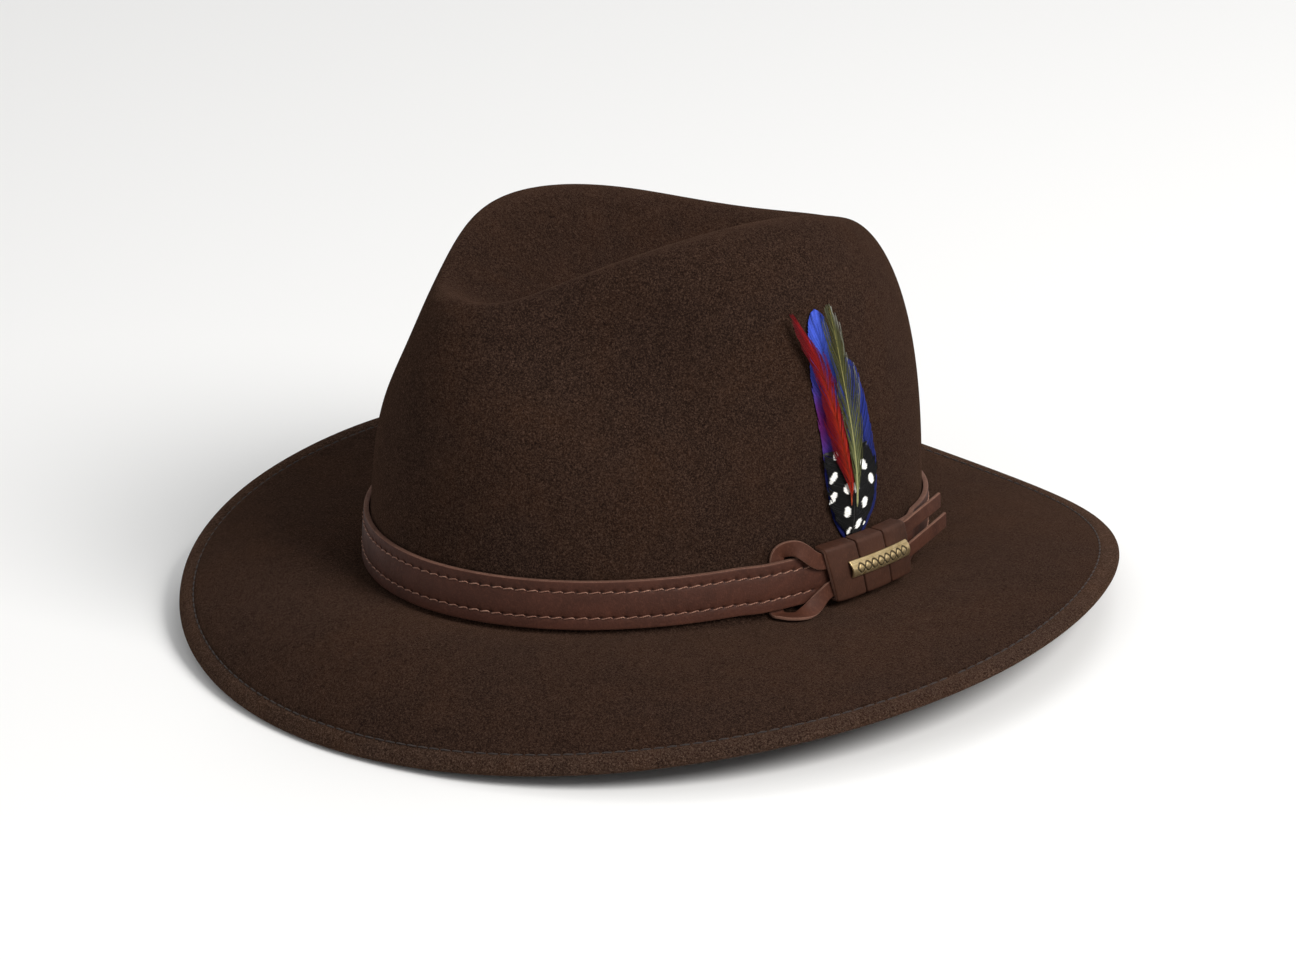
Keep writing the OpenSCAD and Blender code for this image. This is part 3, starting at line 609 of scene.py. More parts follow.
def band_stitches():
    shape = np.array([
        (0.15, -0.3, -0.5), (0.45, -0.3, -0.08), (1.1, -0.15, 0.16), (2.0, 0.08, 0.2),
        (2.9, 0.26, 0.2), (3.45, 0.3, 0.14), (3.85, 0.02, 0.02), (4.15, -0.3, -0.5),
    ])
    parts = []
    for row in ROWS:
        s = hole_s[1:, None] + shape[None, :, 0]
        s = s + rng.normal(0, 0.06, s.shape[:1])[:, None]
        a = np.interp(s, fine_run, fine_a)
        across = shape[None, :, 1] + rng.normal(0, 0.05, s.shape[:1])[:, None]
        h = band_at(a, row) + across + wander(a)
        off = strap_in(a) + BAND_T - 0.12 + shape[None, :, 2]
        parts.append(tubes(wall(a, h, off), [0.1, 0.16, 0.21, 0.23, 0.22, 0.2, 0.16, 0.1], 7))
    return joined(parts)


piece("hat_band_stitching", band_stitches(), [band_thread])

# ---- lace ----

LACE_OFF = BAND_GAP + BAND_BULGE + BAND_T + 2 * LIE + LACE_T / 2
WALL_LEAN = 7
LACE_BENDS = [
    (-1.6, 18.5, LACE_OFF, WALL_LEAN), (-3.6, 20.4, 5.4, WALL_LEAN), (-5.4, 23, 5.5, WALL_LEAN),
    (-7, 24.8, 4.7, 0), (-8.5, 24.7, 3, 0), (-9.7, 23.2, 1.5, 0), (-10.1, 20.4, 1.15, 0),
    (-10.1, 13, 1.15, 0), (-10.1, 6, 1.15, 0), (-10.1, 4, 1.25, 0), (-9.9, 2.3, 2, 45),
    (-9.5, 1.5, 3.4, 90), (-8.5, 1.4, 5.6, 90),
    (-6.9, 1.6, 7.2, 85), (-4.7, 2.6, 7.3, 60), (-2.5, 4.5, 6.3, 30), (-0.6, 6.5, 5.6, 8),
]


def spline(points, steps):
    """Catmull-Rom through rows of numbers, steps to a span."""
    p = np.asarray(points, float)
    p = np.concatenate([[2 * p[0] - p[1]], p, [2 * p[-1] - p[-2]]])
    t = np.linspace(0, 1, steps, endpoint=False)[:, None]
    rows = []
    for k in range(1, len(p) - 2):
        a, b, c, d = p[k - 1 : k + 3]
        square, cube = 2 * a - 5 * b + 4 * c - d, 3 * b - a - 3 * c + d
        rows.append(0.5 * (2 * b + (c - a) * t + square * t**2 + cube * t**3))
    return np.concatenate(rows + [p[-2][None]])


def strip_solid(centres, faces_to, sec, tags):
    """A flat strip swept along centres, whose outer face turns towards faces_to."""
    run = np.gradient(centres, axis=0)
    run /= np.linalg.norm(run, axis=-1, keepdims=True)
    across = np.cross(faces_to, run)
    across /= np.linalg.norm(across, axis=-1, keepdims=True)
    thick = np.cross(run, across)
    return loft(centres[:, None] + across[:, None] * sec[:, :1] + thick[:, None] * sec[:, 1:], col_mats=tags)


def band_lace():
    go, back = np.linspace(0, 1, 8), np.linspace(0.04, 1, 8)
    width, rest = KEEPER_TO - KEEPER_FROM, np.tile([LACE_OFF, WALL_LEAN], (8, 1))
    high = np.column_stack([KEEPER_TO - width * go, 19.9 - 1.5 * go, rest])
    low = np.column_stack([KEEPER_FROM + width * back, 7.6 + 2.8 * back, rest])
    path = spline(np.concatenate([high, LACE_BENDS, low]), 5)
    centre = wall(path[:, 0], path[:, 1], path[:, 2])
    lean = rad(path[:, 3])[:, None]
    turn = out(path[:, 0]) * np.cos(lean) + UP * np.sin(lean)
    face, shares = out(KEEPER_TO), np.linspace(1, 0.06, 12)[:, None]
    ends = []
    for start, length, rise in zip(centre[[0, -1]], (TAIL_L, TAIL_LOW_L), TAIL_RISE):
        away = np.cross(UP, face) + face * TAIL_SPREAD + UP * rise
        bow = face * (0.5 * np.sin(shares * 2.6)) + UP * 0.3 * np.sin(shares * 4)
        ends.append(start + away / np.linalg.norm(away) * length * shares + bow)
    centre = np.concatenate([ends[0], centre[1:-1], ends[1][::-1]])
    face_end = np.tile(face, (len(shares), 1))
    turn = np.concatenate([face_end, turn[1:-1], face_end])
    sec, tags = rounded(LACE_W, LACE_T, 0.3, np.linspace(-1, 1, 9), back=6)
    sec[:, 1] -= LACE_T / 2
    return strip_solid(centre, turn, sec, tags)


piece("band_lace", band_lace(), [lace_leather, lace_edge, flesh_side], sharp=50)

# ---- keeper ----

KEEPER_IN = LACE_OFF + LACE_T / 2 + 2 * LIE
KEEPER_OUT = KEEPER_IN + KEEPER_T
TURN_A = (KEEPER_TO - KEEPER_FROM) / 3
SLITS = (KEEPER_FROM + TURN_A, KEEPER_FROM + 2 * TURN_A)


def leaning(a, h, off):
    """A point beside the wall, leaning with the keeper."""
    return wall(a - KEEPER_LEAN * (h - band_at(a, 0.5)), h, off)


def keeper():
    a = np.linspace(KEEPER_FROM, KEEPER_TO, 181)
    r = 1.2
    low, high = band_at(a, 0) - LIE - KEEPER_T, band_at(a, 1) + LIE + KEEPER_T
    inner_low, inner_high = band_at(a, 0) - LIE, band_at(a, 1) + LIE
    back = strap_in(a)
    near = np.min([np.abs(a - s) for s in SLITS], axis=0)
    slit = np.exp(-((near / 0.13) ** 2)) * 1.1
    turn = (a - KEEPER_FROM) / TURN_A % 1.0
    turn[-1] = 1.0
    pillow = 0.26 * (1 - (2 * turn - 1) ** 6)
    ends = np.minimum(a - KEEPER_FROM, KEEPER_TO - a) * 1.8
    fade = np.sqrt(np.clip(1 - (1 - np.clip(ends / 0.7, 0, 1)) ** 2, 0, 1))
    grow = pillow - slit - 0.35 * (1 - fade)
    g, u = np.linspace(0, math.pi / 2, 6), np.linspace(0, 1, 26)[1:-1]
    top, lo, hi = (KEEPER_OUT + grow)[:, None], (low - grow * 0.8)[:, None], (high + grow * 0.8)[:, None]
    h = np.column_stack([
        lo, lo + r - r * np.cos(g), lo + r + (hi - lo - 2 * r) * u, hi - r + r * np.cos(g[::-1]),
        hi, inner_high, inner_high, inner_low, inner_low,
    ])
    shoulder, inside = top - r, np.full(len(a), KEEPER_IN)
    off = np.column_stack([
        back, shoulder + r * np.sin(g), top + 0.25 * np.sin(math.pi * u), shoulder + r * np.sin(g[::-1]),
        back, back, inside, inside, back,
    ])
    tags = np.zeros(h.shape[1], int)
    tags[-5:] = 2
    v, f, m = loft(leaning(a[:, None], h, off), col_mats=tags)
    m[-2:] = 1
    edge = np.minimum(a - KEEPER_FROM, KEEPER_TO - a)
    # painted shade darkens the slits; the face is also made lighter close to the cut ends
    shade = (1 - 0.75 * np.minimum(slit, 1)) * (1 + 0.35 * np.exp(-((edge / 0.25) ** 2)))
    return v, f, m, np.repeat(shade, h.shape[1])[:, None]


piece("keeper_wrap", keeper(), [keeper_leather, lace_edge, flesh_side], sharp=55)

# ---- badge ----

BADGE_L, BADGE_H, BADGE_A, BADGE_MID = 31.0, 6.2, 13.2, 0.55
BADGE_RISE, BADGE_T = 1.9, 0.7
BADGE_OFF = KEEPER_OUT + LIE + 0.35
BADGE_HALF_A = math.degrees(BADGE_L / 2 / HALF_L)


def brass_material():
    m, t, sh, where = material("antique_brass", Metallic=0.85, Roughness=0.38)
    tone = noise(t, where, 260, 4, 0.65, 0.8)
    scratch = noise(t, where, 1800, 3, 0.7, 0.2)
    depth = tint_of(t)
    c = mix(t, ramp(t, tone, (0.3, 0.0), (0.7, 1.0)), (180, 154, 106), (222, 198, 150))
    c = mix(t, ramp(t, scratch, (0.55, 0.0), (0.8, 0.5)), c, (248, 234, 204))
    c = mix(t, depth, (34, 26, 18), c)
    t.links.new(ramp(t, depth, (0.0, 0.75), (1.0, 0.34)), sh.inputs["Roughness"])
    paint(t, sh, c, [], [(scratch, 0.00006, 0.5), (tone, 0.0002, 0.3)])
    return m


brass = brass_material()


def badge():
    """Cambered plate with two plain interlaced lines engraved in it."""
    x, y = np.linspace(-1, 1, 260)[:, None], np.linspace(-1, 1, 44)
    mm_x, mm_y = x * BADGE_L / 2, y * BADGE_H / 2
    period, swing = 6.6, 1.75
    phase = 2 * np.pi * mm_x / period
    steep = np.hypot(1, swing * 2 * np.pi / period * np.cos(phase))
    near = np.min([np.abs(mm_y - swing * k * np.sin(phase)) / steep for k in (-1, 1)], axis=0)
    dots = np.hypot((mm_x - period / 4) % (period / 2) - period / 4, mm_y)
    cut = np.maximum(np.exp(-((near / 0.36) ** 4)), np.exp(-((dots / 0.5) ** 4)))
    cut = cut * (1 - smooth((np.abs(mm_x) - BADGE_L / 2 + 2.2) / 0.3))
    rim = np.exp(-(((np.abs(mm_y) - BADGE_H / 2 + 0.75) / 0.1) ** 2))
    back_off = BADGE_OFF + (BADGE_RISE - BADGE_T) * (1 - y**2)
    edge_round = 0.225 * smooth((np.abs(y) - 0.93) / 0.07) + 0.18 * smooth((np.abs(x) - 0.988) / 0.012)
    a = BADGE_A + x * BADGE_HALF_A
    mid = band_at(a, BADGE_MID)
    top_pts = leaning(a, mid + mm_y, back_off + BADGE_T - 0.22 * cut - 0.08 * rim - edge_round)
    low_pts = leaning(a, mid + y * (BADGE_H / 2 - 0.05), back_off)
    bright = np.clip(1 - 0.92 * cut - 0.4 * rim, 0.05, 1)
    tint = np.concatenate([bright, np.full_like(bright, 0.25)], 1)
    return (*loft(np.concatenate([top_pts, low_pts[:, ::-1]], 1)), tint.reshape(-1, 1))


piece("badge_plate", badge(), [brass], sharp=50)


def prongs():
    parts = []
    ring = np.linspace(0, 2 * np.pi, 12, endpoint=False)
    off = np.linspace(KEEPER_IN + LIE, BADGE_OFF + 0.9, 5)[:, None]
    for side in (-1, 1):
        a0 = BADGE_A + side * BADGE_HALF_A * 0.7
        parts.append(loft(wall(a0 + 0.33 * np.cos(ring), band_at(a0, BADGE_MID) + 1.2 * np.sin(ring), off)))
    v, f, m = joined(parts)
    return v, f, m, 0.5


piece("badge_prongs", prongs(), [brass])

# ---- feathers ----

QUILL_A, QUILL_OFF = 9.0, 1.05
MM_DEG = 1.79
FEATHER_T = 0.6


def layer(i):
    return 0.5 + i * (FEATHER_T + LIE)


def curve(points, degree=3):
    """Angle as a smooth function of height, through (angle, height) points."""
    p = np.array(points, float)
    fit = np.polyfit(p[:, 1], p[:, 0], min(degree, len(p) - 1))
    return lambda h: np.polyval(fit, h)


def outline(points):
    """Angle as a smooth function of height, by a spline through (angle, height) points."""
    p = spline(sorted(points, key=lambda q: q[1]), 8)
    return lambda h: np.interp(h, p[:, 1], p[:, 0])


def barbs(shaft, edge, span, count, rise, width, off, lift, colour, seed, split, ragged, steps, thin, arch):
    """Barbs from the shaft to one edge of a vane, each a thin closed prism.
    colour(t, r, h, a) gives rgb for place t along the barb and r, a random number."""
    lo, hi = span
    r = np.random.default_rng(seed)
    h0 = np.linspace(lo, hi, count)
    clump = np.repeat(r.normal(0, 1, count // 5 + 2), 5)[:count]
    jitter = clump * split + r.normal(0, 0.35 * split, count)
    t = np.linspace(0, 1, steps)[None, :]
    up = np.minimum(rise * (1 + 0.08 * jitter), (hi - h0) * 0.92 + 0.4)[:, None]
    h = h0[:, None] + up * t**0.85
    h1 = h[:, -1:]
    reach = (edge(h1) - shaft(h1)) * (1 + ragged * jitter[:, None] / max(split, 0.3))
    a = shaft(h) + reach * np.sin(t * np.pi / 2) ** 0.9
    w = width * (1 - thin * t**2) * (0.35 + 0.65 * np.clip((hi - h0) / 6, 0, 1))[:, None]
    da, dh = np.gradient(a, axis=1) * MM_DEG, np.gradient(h, axis=1)
    n = np.hypot(da, dh) + 1e-9
    pa, ph = -dh / n / MM_DEG, da / n
    base = off + arch * (1 - t**2) + lift(h) + r.normal(0, 0.04, (count, 1))
    pts = np.stack([
        wall(a + pa * w / 2, h + ph * w / 2, base),
        wall(a - pa * w / 2, h - ph * w / 2, base),
        wall(a, h, base + 0.16),
    ], 2)
    verts = pts.reshape(-1, 3)
    one = turned_out(pts[count // 2].reshape(-1, 3), grid_faces(steps, 3) + ends_of(steps, 3))
    shade = r.uniform(0, 1, (count, 1)) * np.ones_like(h)
    rgb = colour(np.broadcast_to(t, h.shape), shade, h, a)
    return verts, repeated(one, count, steps * 3), np.repeat(rgb[:, :, None, :], 3, 2).reshape(-1, 3)


def quill(shaft, lo, hi, r0, r1, off, lift, rgb, tip_rgb):
    h = np.linspace(lo, hi, 40)
    path = wall(shaft(h), h, off + lift(h))[None]
    radius = r0 + (r1 - r0) * ((h - lo) / (hi - lo)) ** 0.8
    radius[[0, -1]] *= (0.4, 0.3)
    v, f = tubes(path, radius[None], 8, up=out(float(shaft(np.array(50.0)))), flat=0.8)
    c = blend_rgb(srgb(*rgb), srgb(*tip_rgb), np.linspace(0, 1, 40))
    return v, f, np.repeat(c, 8, 0)


def feather(node, mat, k, shaft, edges, lift, colour, shank, quill_rgb, span, width,
            count, rise, split, ragged, steps=7, thin=0.55, arch=0.25):
    """Feather k, counted from the crown: a vane between two edges, and its quill. What is given in
    pairs is for the vane's two halves; shank is the quill's (from, to, radii, lift off the vane)."""
    parts = [
        barbs(shaft, edges[i], span, count[i], rise[i], width, layer(k), lift, colour,
              2 * k + 1 + i, split[i], ragged[i], steps, thin, arch)
        for i in range(2)
    ]
    parts.append(quill(shaft, *shank[:4], layer(k) + shank[4], lift, *quill_rgb))
    verts, faces, mats = joined([p[:2] for p in parts])
    tint = np.concatenate([p[2] for p in parts])
    piece(node, (verts, faces, mats, tint), [mat], "feathers", sharp=0)


def blend_rgb(a, b, k):
    """Colour a, one or many, with b laid over it by k."""
    k = np.clip(np.asarray(k, float), 0, 1)[..., None]
    return np.asarray(a)[..., :3] * (1 - k) + np.asarray(b)[..., :3] * k


BLUE, BRIGHT, NAVY, PURPLE = srgb(40, 56, 148), srgb(66, 90, 198), srgb(15, 18, 64), srgb(84, 18, 84)
vane = feather_material("dyed_vane", 0.55, 0.06)
hackle = feather_material("hackle", 0.6, 0.04)


def tucked(i, h):
    """How far a vane's foot moves in, so that it passes behind the strap."""
    return (0.45 + 0.3 * i - layer(i)) * (1 - smooth((h - 24.3) / 6))


def blue_back_colour(t, r, h, a):
    c = blend_rgb(BLUE, BRIGHT, 0.9 * smooth((h - 62) / 28) + 0.3 * r - 0.1)
    c = blend_rgb(c, NAVY, 0.9 * (1 - smooth((h - 34) / 26)))
    c = blend_rgb(c, PURPLE, np.exp(-(((h - 64) / 12) ** 2)) * smooth((5.5 - a) / 4))
    return c * (0.75 + 0.35 * r[..., None])


def blue_side_colour(t, r, h, a):
    c = blend_rgb(NAVY, BLUE, smooth((h - 40) / 30) * 0.45 + 0.5 * r - 0.12)
    c = c * (1 - 0.75 * (r > 0.8))[..., None]
    return blend_rgb(c, BRIGHT, 0.35 * np.clip(t * 1.4 - 0.9, 0, 1) * r)


def red_colour(t, r, h, a):
    c = blend_rgb(srgb(62, 5, 9), srgb(156, 20, 14), 0.95 * r + 0.05)
    near_quill = np.clip(1 - 2.2 * t, 0, 1) * (0.15 + 0.55 * r) * (1 - smooth((h - 66) / 22))
    c = blend_rgb(c, srgb(204, 66, 30), near_quill)
    return blend_rgb(c, srgb(96, 8, 34), 0.6 * t)


def olive_colour(t, r, h, a):
    c = blend_rgb(srgb(40, 42, 24), srgb(92, 92, 54), r)
    right = np.clip(t * 2.4 - 1.5, 0, 1) * (a > shaft_olive(h)) * (r > 0.45) * smooth((h - 62) / 14)
    left = np.clip(t * 2 - 1.3, 0, 1) * (a <= shaft_olive(h)) * (r > 0.75) * 0.6
    c = blend_rgb(c, srgb(132, 138, 96), 0.8 * np.clip(1 - 2.6 * t, 0, 1) * (1 - smooth((h - 50) / 34)))
    return blend_rgb(c, srgb(164, 164, 156), 0.85 * (right + left))


SPOT_W, SPOT_H = 1.55, 1.95
# white spots: angle, height, slant, size
SPOTS = [
    (7.6, 25.2, -0.5, 0.6), (12.3, 26, 0.3, 0.5), (10.2, 26.8, -0.2, 0.9), (6.6, 32.3, 0, 1),
    (11.6, 34, -0.1, 0.95), (2.6, 38.5, -0.5, 1), (8.8, 40, 0.4, 0.85), (6.4, 40.3, 0.1, 0.95),
    (13.6, 41.3, 0.35, 0.95), (2.6, 45.3, -0.5, 0.95), (11.1, 47, 0.6, 1), (3.2, 52.6, -0.2, 0.75),
]


def guinea_colour(t, r, h, a):
    c = blend_rgb(srgb(4, 4, 5), srgb(12, 11, 12), r)
    white = np.zeros_like(h)
    for spot_a, spot_h, slant, size in SPOTS:
        w = h - spot_h
        u = (a - spot_a) * MM_DEG + w * slant + (r - 0.5) * 0.3
        white = np.maximum(white, ((u / (SPOT_W * size)) ** 2 + (w / (SPOT_H * size)) ** 2) < 1)
    c = blend_rgb(c, srgb(244, 243, 238), white)
    return blend_rgb(c, srgb(150, 148, 144), 0.8 * smooth((h - 52) / 4) * (r > 0.6) * (t > 0.75))


shaft_blue = curve([(9.0, 19), (7.6, 26), (6.2, 45), (4.0, 65), (1.8, 84), (0.9, 99)])
left_blue = outline([
    (8.2, 19), (6.9, 25.5), (3.9, 30.8), (2.5, 38.3), (1.5, 45.3), (0.9, 52.8), (0.1, 61.3),
    (-0.9, 70.8), (-1.5, 80.5), (-1.5, 91), (-1.1, 95.5), (-0.2, 98.4), (1.0, 99.4),
])
right_blue = outline([
    (10, 19), (10.6, 26), (11, 38), (10.4, 50), (8.2, 65), (5.2, 81), (4.4, 88), (4.1, 93),
    (3.0, 97.5), (1.2, 99.5),
])
feather(
    "feather_blue_back", vane, 0, shaft_blue, (left_blue, right_blue),
    lambda h: 0.5 * smooth((h - 70) / 31) + tucked(0, h), blue_back_colour,
    (19.2, 97, 0.45, 0.1, 0.25), [(40, 44, 92)] * 2, span=(19.5, 99.2), width=0.5,
    count=(270, 270), rise=(10, 10), split=(0.4, 0.4), ragged=(0.02, 0.02),
)

shaft_side = curve([(10.6, 19.5), (12.4, 34), (12.2, 50), (10.2, 66), (7.8, 83)])
left_side = outline([(9.6, 19.5), (9.4, 30), (9.2, 40), (8.8, 50), (8, 62), (7, 74), (7.6, 83)])
right_side = outline([
    (11.6, 19.5), (13.2, 24.5), (14.2, 28.3), (15.8, 34.5), (16.2, 41.8), (15.4, 50), (14.4, 56.5),
    (13.5, 64), (11.8, 72.3), (10.3, 79.5), (7.8, 83),
])
feather(
    "feather_blue_side", vane, 1, shaft_side, (left_side, right_side),
    lambda h: 0.35 * smooth((h - 55) / 30) + tucked(1, h), blue_side_colour,
    (19.6, 81, 0.42, 0.1, 0.2), [(24, 27, 64)] * 2, span=(20, 82.6), width=0.46,
    count=(190, 190), rise=(9, 9), split=(0.8, 1.0), ragged=(0.06, 0.05),
)

shaft_guinea = curve([(9.2, 19), (8.6, 34), (7.6, 55)], 2)
left_guinea = outline([
    (8.0, 19), (6.5, 26), (3.4, 32.5), (2, 38.8), (1.2, 45.8), (0.4, 52.8), (1.2, 56.5),
])
right_guinea = outline([
    (10.4, 19), (11.4, 25.3), (12.9, 30), (14.4, 35.8), (15.2, 42.3), (14.6, 48.3), (12.7, 52.8),
    (11.4, 56),
])
feather(
    "feather_guinea", vane, 2, shaft_guinea, (left_guinea, right_guinea),
    lambda h: tucked(2, h), guinea_colour,
    (19.2, 53, 0.42, 0.14, 0.15), [(34, 29, 26), (20, 17, 16)], span=(19.5, 54), width=0.4,
    count=(150, 150), rise=(6, 6), split=(0.6, 0.6), ragged=(0.05, 0.05), steps=26, thin=0.4,
)

shaft_red = curve([
    (7.2, 35), (6.7, 44), (5.3, 51.8), (3.5, 60.8), (1.9, 70.5), (0.1, 79), (-2, 87), (-4.7, 95.5),
    (-6.5, 101),
], 4)
left_red = outline([
    (6.7, 38), (6.2, 43), (4.4, 48.8), (2.2, 55), (0.9, 61.5), (0, 70), (-1.2, 77.8), (-2.6, 83),
    (-4.9, 90.8), (-6.3, 97.8), (-6.8, 101),
])
right_red = outline([
    (7.6, 38), (7.8, 45.3), (7.2, 53.3), (5.9, 58.8), (4.9, 65.3), (3.6, 71), (2.8, 76), (1.5, 81.8),
    (-0.3, 87.5), (-2.7, 92.3), (-4.8, 97.5), (-6.3, 101),
])
feather(
    "feather_red", hackle, 3, shaft_red, (left_red, right_red),
    lambda h: 1.6 * smooth((h - 55) / 46) ** 1.5, red_colour,
    (34.5, 99, 0.3, 0.07, 0.35), [(170, 74, 40), (150, 34, 18)], span=(37.5, 100.4), width=0.17,
    count=(165, 155), rise=(12, 12), split=(0.9, 1.1), ragged=(0.14, 0.2), steps=8, thin=0.8, arch=0.7,
)

shaft_olive = curve([
    (8.2, 34), (7.9, 44.5), (7.5, 51.3), (6.8, 59.8), (5.6, 69.5), (4.7, 78.3), (3.9, 86.5), (3.3, 97),
    (2.9, 101.4),
])
left_olive = outline([
    (7.6, 34), (6.6, 50), (4.9, 64.3), (3.2, 74.5), (2.4, 83.3), (1.8, 92.8), (1.6, 98.5), (2.6, 101.5),
])
right_olive = outline([
    (8.6, 34), (9.6, 46), (10, 56), (9.2, 64), (8.7, 70), (8.2, 76), (7.2, 82.8), (6.6, 88.3),
    (5.6, 93.3), (4.4, 98.8), (3.1, 101.5),
])
feather(
    "feather_olive", hackle, 4, shaft_olive, (left_olive, right_olive),
    lambda h: 0.3 + 1.2 * smooth((h - 60) / 42) ** 1.4, olive_colour,
    (34, 100.3, 0.42, 0.1, 0.3), [(150, 150, 104), (128, 118, 60)], span=(36.5, 101), width=0.18,
    count=(104, 100), rise=(14, 17), split=(1.3, 1.6), ragged=(0.25, 0.38), steps=9, thin=0.85,
)


def mount():
    """Bare quill ends, side by side, held by a sleeve of wound thread."""
    h = np.linspace(4.2, 22.4, 14)
    radii = [0.12, *[0.29] * 12, 0.2]
    parts = []
    for a in np.linspace(QUILL_A - 1.5, QUILL_A + 1.5, 5):
        path = wall(a + (QUILL_A - a) * 0.1 * np.sin(h / 6), h, QUILL_OFF)
        parts.append(tubes(path[None], radii, 8, up=out(a)))
    return joined(parts)


quill_mat = thread_material("bare_quill", (196, 184, 152), (150, 134, 100), (220, 212, 188))
piece("feather_mount", mount(), [quill_mat], "feathers")


def binding():
    turns, per = 13, 28
    w = np.linspace(0, 2 * np.pi * turns, turns * per)
    h = 10.3 + 5.4 * w / w[-1]
    a = QUILL_A + 2.02 * np.cos(w)
    return tubes(wall(a, h, QUILL_OFF + 0.48 * np.sin(w))[None], 0.2)


binding_mat = thread_material("binding_thread", (46, 38, 34), (22, 18, 16), (78, 66, 58))
piece("feather_binding", binding(), [binding_mat], "feathers")

# ---- inside ----

LINING_GAP, LINING_T, SWEAT_T, SWEAT_HIGH = FELT_T + 0.7, 0.4, 1.1, 36.0
SWEAT_OUT = -LINING_GAP - LINING_T - 0.2
SWEAT_IN = SWEAT_OUT - SWEAT_T
BACK_A = 90.0

sweat_leather = leather_material("sweatband_leather", (112, 76, 54), (92, 60, 42), (140, 102, 76), 0.42, 0.7)


def sweatband():
    a = np.linspace(BACK_A + 1.1, BACK_A + 360 - 1.1, 420)[:, None]
    heights = np.linspace(1.6, SWEAT_HIGH, 26)
    give = 0.35 * noise1(a, 33) * smooth((heights - 8) / 28) + 0.5 * smooth((heights - 20) / 16)
    inner, outward = SWEAT_IN - give + 0.2, SWEAT_OUT - give
    half, mid = (outward - inner)[:, -1:] / 2, (outward + inner)[:, -1:] / 2
    g = np.linspace(0, math.pi, 5)[1:-1]
    h = np.concatenate([heights, SWEAT_HIGH + SWEAT_T * 0.4 * np.sin(g), heights[::-1]])
    return loft(wall(a, h, np.concatenate([inner, mid - half * np.cos(g), outward[:, ::-1]], 1)))


piece("sweatband", sweatband(), [sweat_leather], sharp=50)


def reed():
    a = np.arange(400)[:, None] * 0.9
    ring = np.linspace(0, 2 * np.pi, 14, endpoint=False)
    base = wall(a, 0.0, (SWEAT_IN + SWEAT_OUT) / 2 + np.cos(ring))
    return loft(base + stacked(0.0, 0.0, np.sin(ring) + 0.3), ring=True)


reed_mat = thread_material("reed_cover", (168, 146, 116), (128, 106, 80), (196, 178, 150))
piece("sweatband_reed", reed(), [reed_mat])


def sweat_stitches():
    fine, pitch, row = np.linspace(BACK_A + 2, BACK_A + 358, 1441), 3.2, 3.0
    run = travelled(wall(fine, row, SWEAT_IN))
    shape = [(0.1, -0.1, 0.35), (0.5, -0.1, -0.05), (1.5, 0, -0.2), (2.4, 0.05, -0.05), (2.8, 0.1, 0.35)]
    along, across, lift = np.array(shape).T
    a = np.interp(np.arange(int(run[-1] // pitch))[:, None] * pitch + along, run, fine)
    return tubes(wall(a, row + across, SWEAT_IN + 0.05 + lift), [0.1, 0.2, 0.25, 0.2, 0.1])


sweat_thread = thread_material("sweatband_thread", (176, 150, 118), (120, 96, 70), (206, 184, 152))
piece("sweatband_stitching", sweat_stitches(), [sweat_thread])


def ribbon_material(name, base, dark):
    m, t, sh, where = material(name, Roughness=0.5, Sheen_Weight=0.3)
    wave_in = {"Vector": where, "Scale": 700.0, "Distortion": 0.4}
    rib = put(t, "TexWave", wave_in, bands_direction="Z").outputs["Fac"]
    paint(t, sh, mix(t, rib, dark, base), [], [(rib, 0.0001, 0.7)])
    return m


def bow():
    """Two flat loops and a knot, in ribbon."""
    mid_h, base_off = 7.0, SWEAT_IN - 0.9
    t = np.linspace(0, 2 * np.pi, 73)[:-1, None]
    half = 0.9 + 1.3 * np.abs(np.sin(t)) ** 0.8
    sec = rounded(2.0, 0.25, 0.1, np.linspace(-1, 1, 5), corner=2)[0]
    a = BACK_A + 10.2 * np.sin(t) / MM_DEG / 0.98
    off = base_off + 0.42 * np.sin(2 * t) + (sec[:, 1] - 0.125)
    loops = loft(wall(a, mid_h + sec[:, 0] * half, off), ring=True)
    ring = np.linspace(0, 2 * np.pi, 25)[:-1, None]
    sec2 = rounded(2.6, 0.25, 0.1, np.linspace(-1, 1, 5), corner=2)[0]
    off = base_off + np.sin(ring) * (0.62 + sec2[:, 1])
    a = BACK_A + np.cos(ring) * (0.55 + sec2[:, 1] * 0.5)
    return joined([loops, loft(wall(a, mid_h + sec2[:, 0], off), ring=True)])


ribbon = ribbon_material("bow_ribbon", (66, 48, 38), (38, 27, 21))
piece("sweatband_bow", bow(), [ribbon], sharp=50)


def label():
    a = np.linspace(BACK_A + 18, BACK_A + 24, 26)[:, None]
    h = np.linspace(8, 24, 34)
    off = SWEAT_IN - 1.2 * smooth((h - 18) / 6) - 0.12 * np.sin((a - BACK_A) * 2.2)
    front, back = wall(a, h, off - 0.45), wall(a, h, off - 0.2)
    return loft(np.concatenate([front, back[:, ::-1]], 1))


def woven_material(name, base, dark):
    m, t, sh, where = material(name, Roughness=0.7, Sheen_Weight=0.2)
    warp, weft = (
        put(t, "TexWave", {"Vector": where, "Scale": 900.0}, bands_direction=way).outputs["Fac"]
        for way in "XZ"
    )
    k = put(t, "Math", {0: warp, 1: weft}, operation="MULTIPLY").outputs[0]
    tone = noise(t, where, 120, 3)
    paint(t, sh, mix(t, k, dark, base), [(tone, (0.4, 0.25), (0.7, 0.0), dark)], [(k, 0.00008, 0.6)])
    return m


label_mat = woven_material("label_tape", (222, 214, 194), (182, 172, 150))
label_obj = piece("size_label", label(), [label_mat], sharp=50)


